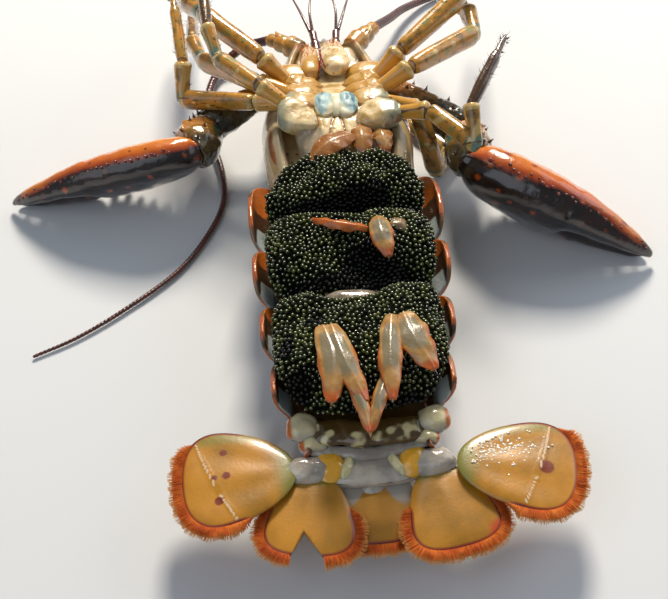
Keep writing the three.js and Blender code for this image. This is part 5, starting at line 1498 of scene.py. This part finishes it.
def cut_notch(piece):
    bpy.ops.mesh.primitive_cylinder_add(vertices=3, radius=1, depth=0.02, location=(0, 0, 0.018))
    wedge = bpy.context.object
    bpy.ops.object.transform_apply(location=True)
    low = [NOTCH["x"], NOTCH["y"]]
    corners = [low, [low[0] - NOTCH["wide"], low[1] - NOTCH["deep"]],
               [low[0] + NOTCH["wide"], low[1] - NOTCH["deep"]]]
    for k, corner in enumerate(sorted(wedge.data.vertices,
                                      key=lambda c: (round(c.co.x, 4), round(c.co.y, 4)))):
        corner.co.x, corner.co.y = Vector(corners[k // 2]) * MM
    close_up(wedge)
    apply_modifier(piece, "BOOLEAN", operation="DIFFERENCE", solver="EXACT", object=wedge)
    bpy.data.objects.remove(wedge)


def near_any(point, spots):
    return max(fade(0.5 * r, 1.3 * r, math.hypot(point.x - x, point.y - y)) for x, y, r in spots)


leaves = {}
for name, sizes in FAN_LEAVES.items():
    leaf = leaves[name] = Leaf(**sizes)
    piece = grid_piece(f"tail_{name}", 128, 56, leaf_surface(leaf, name))
    if name == NOTCHED_LEAF:
        cut_notch(piece)
    paint(piece, "rim",
          lambda p: (1 - min(leaf.from_rim(p), 10) / 10)
          * smooth(-0.1, 0.3, leaf.local(p)[0] / leaf.length - 0.2))
    paint(piece, "root", lambda p: fade(0.02, 0.34, leaf.local(p)[0] / leaf.length))
    paint(piece, "freckle", lambda p: near_any(p, FRECKLES))
    paint(piece, "blush", lambda p: near_any(p, [BLUSH]))
    paint(piece, "headwards",
          lambda p: smooth(0.2, 0.5, leaf.headwards(*leaf.local(p))) if name in SUTURE else 0)
    if name in SUTURE:
        paint(piece, "seam", lambda p: fade(0.2, 0.7, abs(suture_line(name, *leaf.local(p)) + 0.3)))
    if name == "telson":
        def past_wedge(p):
            out, off = leaf.local(p)
            return abs(off) - 1.5 - 0.55 * max(0, out - 11)

        paint(piece, "clear", lambda p: smooth(-1.5, 2.5, past_wedge(p)) * fade(13, 25, leaf.local(p)[0]))
    dress(piece, fan_horn, [name])
print("tail leaves", len(leaves))

# %% [markdown]
# ## The fringe
# Bristles grow from the free edge of each leaf, and wet ones lean together in tufts. Each is a
# thin tapered spike, set outwards along the edge in three layers over a thin web, and the
# lean swings to and fro every few millimetres.

# %% Fringe bristles
FRINGE = 4.7
WEB = 3.4
RIM_STEPS = 1440
RIM_REACH = 0.02
BRISTLE_RADIUS = 0.17
BRISTLE_SPACING = 0.24
TUFT = 5.5


def rim_walk(leaf, spacing):
    """Angles round a leaf's rim at an even spacing in mm."""
    walked, due = 0.0, 0.0
    before = Vector(leaf.edge(0))
    for i in range(1, RIM_STEPS + 1):
        angle = 2 * math.pi * i / RIM_STEPS
        here = Vector(leaf.edge(angle))
        walked += (here - before).length
        before = here
        if walked >= due:
            due += spacing
            yield angle, walked


def in_notch(point):
    depth = NOTCH["y"] - point.y
    return depth > 0 and abs(point.x - NOTCH["x"]) < NOTCH["wide"] * depth / NOTCH["deep"] + 0.4


def rim_frame(leaf, angle):
    """The rim's way along and its way out at an angle."""
    ahead, behind = Vector(leaf.edge(angle + RIM_REACH)), Vector(leaf.edge(angle - RIM_REACH))
    tangent = (ahead - behind).normalized()
    return tangent, Vector((tangent.y, -tangent.x))


def fringe_places(leaf, seed, notched):
    draw = random.Random(seed)
    for layer in (-1, 0, 1):
        for angle, walked in rim_walk(leaf, BRISTLE_SPACING):
            free = leaf.free(angle)
            if free < 0.05:
                continue
            p, q = leaf.edge(angle)
            tangent, out = rim_frame(leaf, angle)
            root = leaf.place(p - out.x * 0.6, q - out.y * 0.6, layer * 0.3)
            if notched and in_notch(root):
                continue
            swing = (0.16 * math.sin(2 * math.pi * (walked + 2 * noise.noise(root / 9)) / TUFT)
                     + draw.uniform(-0.1, 0.1))
            lean = out + tangent * swing
            direction = (leaf.along * lean.x + leaf.across * lean.y
                         + Vector((0, 0, draw.uniform(-0.1, 0.06) + 0.06 * layer)))
            tall = (FRINGE * free * draw.uniform(0.86, 1.0)
                    * (0.9 + 0.1 * math.cos(2 * math.pi * walked / TUFT)))
            turn = direction.normalized().to_track_quat("Z", "Y").to_matrix()
            size = Matrix.Diagonal((BRISTLE_RADIUS, BRISTLE_RADIUS, tall + 0.6))
            yield root, turn @ size, (angle / 6.3, 0.5)


def fringe_web(leaf, notched):
    """The wet bristles cling into a thin web near the rim, from one side of a notch round to the other."""
    step = 2 * math.pi / RIM_STEPS
    cut = [t for t in range(RIM_STEPS) if notched and in_notch(leaf.place(*leaf.edge(t * step), 0))]
    first = next((t for t in cut if (t + 1) % RIM_STEPS not in cut), 0) * step
    span = 2 * math.pi - (len(cut) + 2) * step if cut else 2 * math.pi

    def place(u, v):
        angle = first + span * u
        p, q = leaf.edge(angle)
        out = rim_frame(leaf, angle)[1]
        reach = WEB * leaf.free(angle) * v - 0.5
        return leaf.place(p + out.x * reach, q + out.y * reach, 0.0)

    return place


for number, (name, leaf) in enumerate(leaves.items()):
    notched = name == NOTCHED_LEAF
    web = leaf_piece(f"web_{name}", 200, 5, fringe_web(leaf, notched), 0.4, rounds=0)
    places = list(fringe_places(leaf, 300 + number, notched))
    for part in (web, copied(f"fringe_{name}", spike_pattern(4, 2, 0.4), places)):
        paint(part, "out", lambda p: smooth(0.5, 4.5, leaf.from_rim(p)))
        dress(part, fringe_bristle, [])

# Small pale opaque beads stand for the wet sparkle on the left outer leaf: their whiteness is a painted
# highlight
SPARKLE_DROPS = {"middle": (41.0, -150.0), "spread": (7.2, 3.6), "count": 150, "margin": 3, "root": 4, "tip": 6}
left_leaf = leaves["exopod_left"]
draw = random.Random(88)
sparkle_drop_places = []
while len(sparkle_drop_places) < SPARKLE_DROPS["count"]:
    x, y = (middle + draw.gauss(0, spread) for middle, spread in zip(SPARKLE_DROPS["middle"], SPARKLE_DROPS["spread"]))
    spot = Vector((x, y, 0))
    p, q = left_leaf.local(spot)
    if not SPARKLE_DROPS["root"] < p < left_leaf.length - SPARKLE_DROPS["tip"] or left_leaf.from_rim(spot) < SPARKLE_DROPS["margin"]:
        continue
    top = left_leaf.place(p, q,
                          left_leaf.thick / 2 * lerp(1, 0.75, p / left_leaf.length)
                          + ribs(p, q, left_leaf.length))
    sparkle_drop_places.append((top, facing(UP, draw.uniform(0.18, 0.5), 0, 0.5), (p / 40, 0.5)))
drops = copied("painted_sparkle_drops", bead_pattern(), sparkle_drop_places)
dress(drops, sparkle_drop_finish, [])
print("fringe on", len(leaves), "drops", len(sparkle_drop_places))

# %% [markdown]
# ## The swimmerets
# Under each tail ring hangs a pair of swimmerets, and each ends in two thin leaves like willow
# leaves, grey in the middle, tan at the edges, orange and bristly at the tip. The front ones
# are brown throughout.
# A leaf is an open grid, dished across and curled along, that Solidify gives its
# thickness.

# %% Swimmeret leaves
SWIMMERETS = [
    {"name": "pleopod_front_right",
     "leaves": [{"root": (5.2, -19.6), "tip": (-11.6, -31.6), "width": 11.5, "level": 46.6, "bow": -0.2,
                 "dusky": 0.8}]},
    {"name": "pleopod_front_left",
     "leaves": [{"root": (8.4, -12.6), "tip": (8.8, -28.4), "width": 9.5, "level": 45.0, "bow": 0.0,
                 "dusky": 0.7},
                {"root": (15.2, -13.0), "tip": (17.4, -26.4), "width": 8.4, "level": 43.2, "bow": 0.1,
                 "dusky": 0.55}]},
    {"name": "pleopod_middle",
     "leaves": [{"root": (6.6, -70.2), "tip": (-13.2, -62.6), "width": 4.8, "level": 47.6, "bow": 0.35,
                 "dusky": 0.3, "rim": 1.0},
                {"root": (10.6, -64.6), "tip": (12.8, -82.8), "width": 9.4, "level": 47.4, "bow": -0.1}]},
    {"name": "pleopod_rear_right",
     "leaves": [{"root": (-12.4, -112.6), "tip": (-11.4, -143.4), "width": 11.4, "level": 47.0,
                 "bow": 0.35},
                {"root": (-9.6, -112.8), "tip": (-0.6, -144.2), "width": 9.6, "level": 47.4, "bow": -0.2},
                {"root": (-5.6, -130.0), "tip": (-0.4, -154.4), "width": 5.4, "level": 44.8, "bow": 0.1}]},
    {"name": "pleopod_rear_left",
     "leaves": [{"root": (11.0, -110.2), "tip": (8.0, -144.0), "width": 8.8, "level": 47.2, "bow": -0.1},
                {"root": (15.0, -109.6), "tip": (22.8, -133.2), "width": 12.6, "level": 46.8, "bow": -0.25},
                {"root": (7.6, -132.0), "tip": (0.2, -154.0), "width": 5.0, "level": 44.6, "bow": 0.0}]},
]
LEAF_THICKNESS = 0.9
LEAF_CURL = 2.0
LEAF_DISH = 1.6
RUFFLE = 0.5


def leaf_outline(v):
    """A leaf's share of its full width, from its root to its tip."""
    return math.sin(math.pi * (0.07 + 0.9 * v)) ** 0.62 * (1 - 0.16 * v)


def leaf_bend(bow, v):
    return bow * 6 * math.sin(math.pi * v)


def leaf_frame(root, tip):
    start, end = Vector((*root, 0)), Vector((*tip, 0))
    along = (end - start).normalized()
    return start, along, Vector((-along.y, along.x, 0)), (end - start).length


def swimmeret_place(root, tip, width, level, bow):
    start, along, across, length = leaf_frame(root, tip)

    def place(u, v):
        edge = 2 * u - 1
        shape = leaf_outline(v)
        wave = noise.noise(Vector((v * 4, level + width, math.copysign(2, edge))))
        q = edge / 2 * width * shape * (1 + 0.22 * wave) + leaf_bend(bow, v)
        lift = LEAF_CURL * math.sin(math.pi * v) - LEAF_DISH * edge ** 2 * shape - 1.4 * v ** 3
        lift += RUFFLE * edge ** 2 * math.sin(v * 21 + width) + 0.3 * hump(edge, 0.12)
        return start + along * (v * length) + across * q + Vector((0, 0, level + lift))

    return place


TIP_BRISTLE = {"count": 22, "radius": 0.17, "least": 1.2, "most": 3.0, "sunk": 0.4}


def tip_bristles(name, place, seed):
    draw = random.Random(seed)
    places = []
    for i in range(TIP_BRISTLE["count"]):
        u = (i + 0.5) / TIP_BRISTLE["count"]
        v = 0.985 - 0.5 * abs(2 * u - 1) ** 2
        root, inner = Vector(place(u, v)), Vector(place(lerp(0.5, u, 0.6), v - 0.08))
        away = (root - inner).normalized() + Vector((0, 0, -0.25))
        turn = away.normalized().to_track_quat("Z", "Y").to_matrix()
        tall = draw.uniform(TIP_BRISTLE["least"], TIP_BRISTLE["most"])
        size = Matrix.Diagonal((TIP_BRISTLE["radius"], TIP_BRISTLE["radius"], tall))
        places.append((root - away * TIP_BRISTLE["sunk"], turn @ size, (u, v)))
    return copied(name, spike_pattern(5, 2, 0.1), places)


leaf_count = 0
for swimmeret in SWIMMERETS:
    name = swimmeret["name"]
    for number, sizes in enumerate(swimmeret["leaves"]):
        root, tip, width, level, bow = (sizes[k] for k in ("root", "tip", "width", "level", "bow"))
        place = swimmeret_place(root, tip, width, level, bow)
        leaf = leaf_piece(f"{name}_leaf_{number}", 12, 40, place, LEAF_THICKNESS)
        start, along, across, length = leaf_frame(root, tip)

        def bowed(p):
            """How far along the leaf a point lies, and how far it is towards an edge."""
            flat = p - start
            v = min(1.0, max(0.0, flat.dot(along) / length))
            return v, abs(flat.dot(across) - leaf_bend(bow, v)) / max(width / 2 * leaf_outline(v), 0.3)

        def middle(p):
            v, edge = bowed(p)
            within = smooth(0.05, 0.2, v) * fade(0.6, 0.85, v)
            return fade(0.5, 0.9, edge) * within * (1 - sizes.get("dusky", 0))

        paint(leaf, "tip", lambda p: smooth(0.72, 1.0, bowed(p)[0]))
        paint(leaf, "edge",
              lambda p: smooth(0.6, 1.0, bowed(p)[1]) * smooth(0.15, 0.5, bowed(p)[0])
              + sizes.get("rim", 0))
        paint(leaf, "middle", middle)
        paint(leaf, "dusky", lambda p: sizes.get("dusky", 0) * (0.7 + 0.5 * bowed(p)[1]))
        dress(leaf, leaf_skin, [name] if number == 0 else [])
        bristles = tip_bristles(f"{name}_bristles_{number}", place, 500 + leaf_count)
        dress(bristles, pale_bristle, [])
        leaf_count += 1
bump = dome("pleopod_middle_bump", Vector((17.0, -67.6, 44.4)), 4.6, 4.4, 3.2, 2.0)
roughen(bump, 3, 0.6, 2)
paint(bump, "middle", lambda p: 1.0)
paint(bump, "dusky", lambda p: 0.5)
dress(bump, leaf_skin, [])
print("swimmeret leaves", leaf_count)

# %% [markdown]
# ## Tail rings with their side plates
# Each tail ring is one arched plate that runs over the back and ends on both sides in a flap
# that curls round the eggs. It could be a block, as in the solids, but from the side the thin
# overlapping edges are what one knows a lobster's tail by. So a ring is a sheet over one
# line, from flap to flap, that Solidify makes thick, and each tucks over the next.

# %% Tail rings
TAIL_FRONT = -30.3
RING_LENGTHS = [6.5, 25.2, 24.6, 23.6, 21.4, 15.4]
RINGS = [
    {"name": "abdomen_1", "half": 24.5, "low": 0.8, "rim": 28},
    {"name": "abdomen_2", "half": 28, "low": 0, "rim": 28, "plate": 36.8, "back": 0.42, "ahead": 13},
    {"name": "abdomen_3", "half": 28.4, "low": 0, "rim": 28, "plate": 36.0, "back": 0.55, "ahead": 3},
    {"name": "abdomen_4", "half": 27.6, "low": 0, "rim": 27.4, "plate": 34.2, "back": 0.72, "ahead": 1},
    {"name": "abdomen_5", "half": 25.6, "low": 1, "rim": 26.6, "plate": 31.2, "back": 0.85, "ahead": 0.5},
    {"name": "abdomen_6", "half": 22, "low": 3.2, "rim": 25.6},
]
RING_HALF = [(0, 0), (0.22, 0), (0.52, 0.03), (0.77, 0.16), (0.93, 0.38), (1, 0.6)]
FLAP_SHARES = (0.2, 0.45, 0.72, 1.0)
FLAP_RISE = 8.6
RING_THICKNESS = 1.7
TUCK = 0.9


def ring_line(ring):
    """One side of a ring from the middle of the back to the flap's tip, and where the flap starts."""
    line = [(ring["half"] * x, lerp(ring["low"], ring["rim"], z)) for x, z in RING_HALF]
    flap_from = len(line) - 1
    if "plate" in ring:
        base, base_z = ring["half"] * 0.97, lerp(ring["low"], ring["rim"], 0.78)
        tip_z = ring["rim"] + FLAP_RISE
        line += [(lerp(base, ring["plate"], math.sin(f * math.pi / 2)), lerp(base_z, tip_z, f))
                 for f in FLAP_SHARES]
    else:
        line += [(ring["half"] * 0.99, lerp(ring["low"], ring["rim"], 0.86)),
                 (ring["half"] * 0.93, ring["rim"])]
    walked = [0.0]
    for (x0, z0), (x1, z1) in zip(line, line[1:]):
        walked.append(walked[-1] + math.hypot(x1 - x0, z1 - z0))
    shares = [w / walked[-1] for w in walked]
    line_x = [(s, x) for s, (x, z) in zip(shares, line)]
    line_z = [(s, z) for s, (x, z) in zip(shares, line)]
    return line_x, line_z, shares[flap_from]


def flap_limits(ring, front, long, flap):
    ahead = front - 0.2 + ring.get("ahead", 0) * smooth(0, 0.45, flap)
    behind = front - long - TUCK - 1.0 * flap
    tip = front - long * ring.get("back", 0.5)
    close = (1 - math.sqrt(max(0.0, 1 - 0.99 * flap ** 2.8))) if "plate" in ring else 0
    return lerp(ahead, tip, close), lerp(behind, tip, close)


def ring_place(ring, front, long):
    line_x, line_z, flap_from = ring_line(ring)
    inset = RING_THICKNESS / 2

    def place(u, v):
        share, sign = abs(2 * u - 1), (1 if u > 0.5 else -1)
        flap = max(0.0, (share - flap_from) / (1 - flap_from))
        ahead, behind = flap_limits(ring, front, long, flap)
        tuck = lerp(0.955, 1.0, smooth(0, 0.45, v)) - 0.02 * hump(v - 0.3, 0.05) * (1 - flap)
        x, z = through(line_x, share), through(line_z, share)
        middle_z = lerp(ring["low"], ring["rim"], 0.5)
        z = middle_z + (z - middle_z) * (tuck if z < middle_z else 1)
        return (sign * max(0, x * (tuck + (1 - tuck) * flap) - inset * smooth(0, 0.4, share)),
                lerp(ahead, behind, v), max(z, inset + 0.05))

    return place


front = TAIL_FRONT
for ring, long in zip(RINGS, RING_LENGTHS):
    piece = leaf_piece(f"tail_ring_{ring['name'][-1]}", 150, 30, ring_place(ring, front, long),
                       RING_THICKNESS)
    _, line_z, flap_from = ring_line(ring)
    base_z, tip_z = through(line_z, flap_from), through(line_z, 1.0)
    ahead, behind = front + ring.get("ahead", 0) * 0.5, front - long

    def height(p):
        return min(1.0, max(0.0, (p.z - base_z) / (tip_z - base_z)))

    def inside(p, n):
        return smooth(-0.1, 0.3, -math.copysign(1, p.x) * n.x + 0.25 * n.z) * smooth(0, 0.15, height(p))

    def back_share(p):
        return (ahead - p.y) / (ahead - behind)

    def outer(p, n):
        return inside(p, n) * max(fade(0.3, 0.5, back_share(p)), smooth(0.86, 1.0, height(p)))

    def stripe(p, n):
        return inside(p, n) * smooth(0.6, 0.72, back_share(p)) * fade(0.7, 0.85, height(p))

    # The inner faces of the flaps are painted dark grey-brown: painted shade
    paint(piece, "inside", inside, True)
    paint(piece, "edge", lambda p: max(smooth(0.9, 0.99, back_share(p)), smooth(0.82, 1.0, height(p))))
    if "plate" in ring:
        paint(piece, "outer", outer, True)
        paint(piece, "stripe", stripe, True)
    dress(piece, back_shell, [ring["name"]])
    front -= long
print("tail rings", len(RINGS))

# %% [markdown]
# ## Belly skin and the tail's root
# Between the rings' rims lies a thin belly skin. Behind the eggs the last ring closes with a
# brown bar between two pairs of round knobs, then comes grey clear skin with two
# yolk-yellow lumps and two slanted white pads. All are mounds and tubes sunk in each other,
# tinted by painted masks.

# %% Belly skin and bar
def belly_place(u, v):
    y = lerp(TAIL_FRONT, TAIL_END + 1, v)
    k = min(5, sum(1 for i in range(1, 6) if y < TAIL_FRONT - sum(RING_LENGTHS[:i])))
    ring = RINGS[k]
    half = lerp(24.0, 19.5, v)
    ridge = 0.8 * hump(y - (TAIL_FRONT - sum(RING_LENGTHS[:k + 1])), 1.6)
    return ((2 * u - 1) * half, y, lerp(ring["low"], ring["rim"], 0.77) + 2.5 * abs(2 * u - 1) ** 4 + ridge)


belly = leaf_piece("tail_belly_skin", 40, 90, belly_place, 0.8)
BAR_LINE = [(-19, -140.6, 24.4, 4.4, 2.0), (-9, -141.6, 25.4, 4.9, 2.3), (0, -142.8, 25.4, 4.6, 2.2),
            (9.5, -141.8, 25.4, 4.9, 2.3), (19.5, -140.8, 24.4, 4.4, 2.0)]
bar = tube("last_ring_bar", [(Vector(line[:3]), *line[3:]) for line in BAR_LINE], UP, 44, 90, cap=0.1,
           power=2.8)
roughen(bar, 6, 0.9, 6)
roughen(bar, 2.2, 0.3, 2)
CREAM_SPOTS = [(13.5, -142.5, 4.6), (8.5, -145.2, 4.0), (-3.5, -145.6, 3.4), (-13.5, -143.8, 3.0),
               (3.5, -146.2, 3.6), (-17.5, -140.0, 2.2)]
for piece in (belly, bar):
    paint(piece, "brown", lambda p: 0.95)
    paint(piece, "cream",
          lambda p: near_any(p, CREAM_SPOTS) * (0.6 + 1.0 * noise.noise(p / 3)) if piece is bar else 0.0)
    dress(piece, clear_skin, [])

# %% Knobs, lumps and pads
KNOBS = [(-21.6, -138.4, 25.0, 5.2, 5.6, 3.4), (22.6, -138.8, 25.0, 5.2, 5.6, 3.4),
         (-18.4, -144.6, 23.4, 4.2, 3.2, 2.6), (19.6, -144.6, 23.4, 4.2, 3.2, 2.6)]
knobs = []
for k, (x, y, z, rx, ry, rz) in enumerate(KNOBS):
    knob = tube(f"knob_{k}",
                [(Vector((x, y - ry, z)), rx * 0.5, rz * 0.5), (Vector((x, y - ry * 0.4, z)), rx, rz),
                 (Vector((x, y + ry * 0.4, z)), rx, rz),
                 (Vector((x, y + ry, z)), rx * 0.5, rz * 0.5)], UP, 34, 34, cap=0.22)
    roughen(knob, 3.5, 0.7, k)
    paint(knob, "cream", lambda p: 0.75 * smooth(z - 2, z + rz, p.z))
    paint(knob, "rusty", lambda p: 0.95 * smooth(0.3, 0.95, (p.x - x) * math.copysign(1, x) / rx))
    knobs.append(knob)
knob_piece = joined("tail_knobs", knobs)
paint(knob_piece, "brown", lambda p: 0.45 - 0.03 * (p.z - 24))
dress(knob_piece, clear_skin, [])

BAND_LINE = [(-23, -145.0, 22.4, 1.7, 1.2), (-12, -146.8, 22.4, 2.2, 1.4), (0.5, -148.6, 22.0, 2.6, 1.5),
             (13, -146.8, 22.4, 2.2, 1.4), (23.5, -145.2, 22.4, 1.7, 1.2)]
band = tube("root_skin_band", [(Vector(line[:3]), *line[3:]) for line in BAND_LINE], UP, 34, 90, cap=0.05,
            power=2.6)
under = dome("root_skin", Vector((0.5, -151.0, 19.8)), 21, 8, 2.2, 3.0, bend=3)
lumps = [dome("yolk_lump", Vector((x, -151.2, 20.8)), 5.6, 6.4, 3.2, 2.0, spin=spin)
         for x, spin in ((-13.6, 20), (14.2, -20))]
pads = [dome("white_pad", Vector((x, -152.0, 21.2)), 2.1, 5.4, 2.4, 2.0, spin=spin)
        for x, spin in ((-7.4, -26), (8.2, 26))]
for part in (band, under):
    roughen(part, 7, 0.6, 9)
    roughen(part, 2.6, 0.4, 4)
for part in lumps:
    roughen(part, 3.6, 0.7, 1)
    paint(part, "yolk", lambda p: 1.15)
for part in pads:
    roughen(part, 2.0, 0.4, 1)
    paint(part, "cream", lambda p: 1.3)
root_piece = joined("tail_root_skin", [band, under, *lumps, *pads])
dress(root_piece, clear_skin, [])

for side in SIDES:
    knob = skin_of(f"tail_base_{side}", f"uropod_base_{side}", 0.5, 0.2, 4)
    roughen(knob, 5.5, 0.9, 3)
    roughen(knob, 2.2, 0.2, 7)
    paint(knob, "yolk", lambda p: 0.6 * fade(13, 18, abs(p.x)))
    dress(knob, clear_skin, [f"uropod_base_{side}"])

vent = dome("vent_mound", Vector((0.3, -157.3, 16.6)), 4.4, 4.6, 1.8, 1.5)
paint(vent, "cream", lambda p: 0.2)
dress(vent, clear_skin, [])
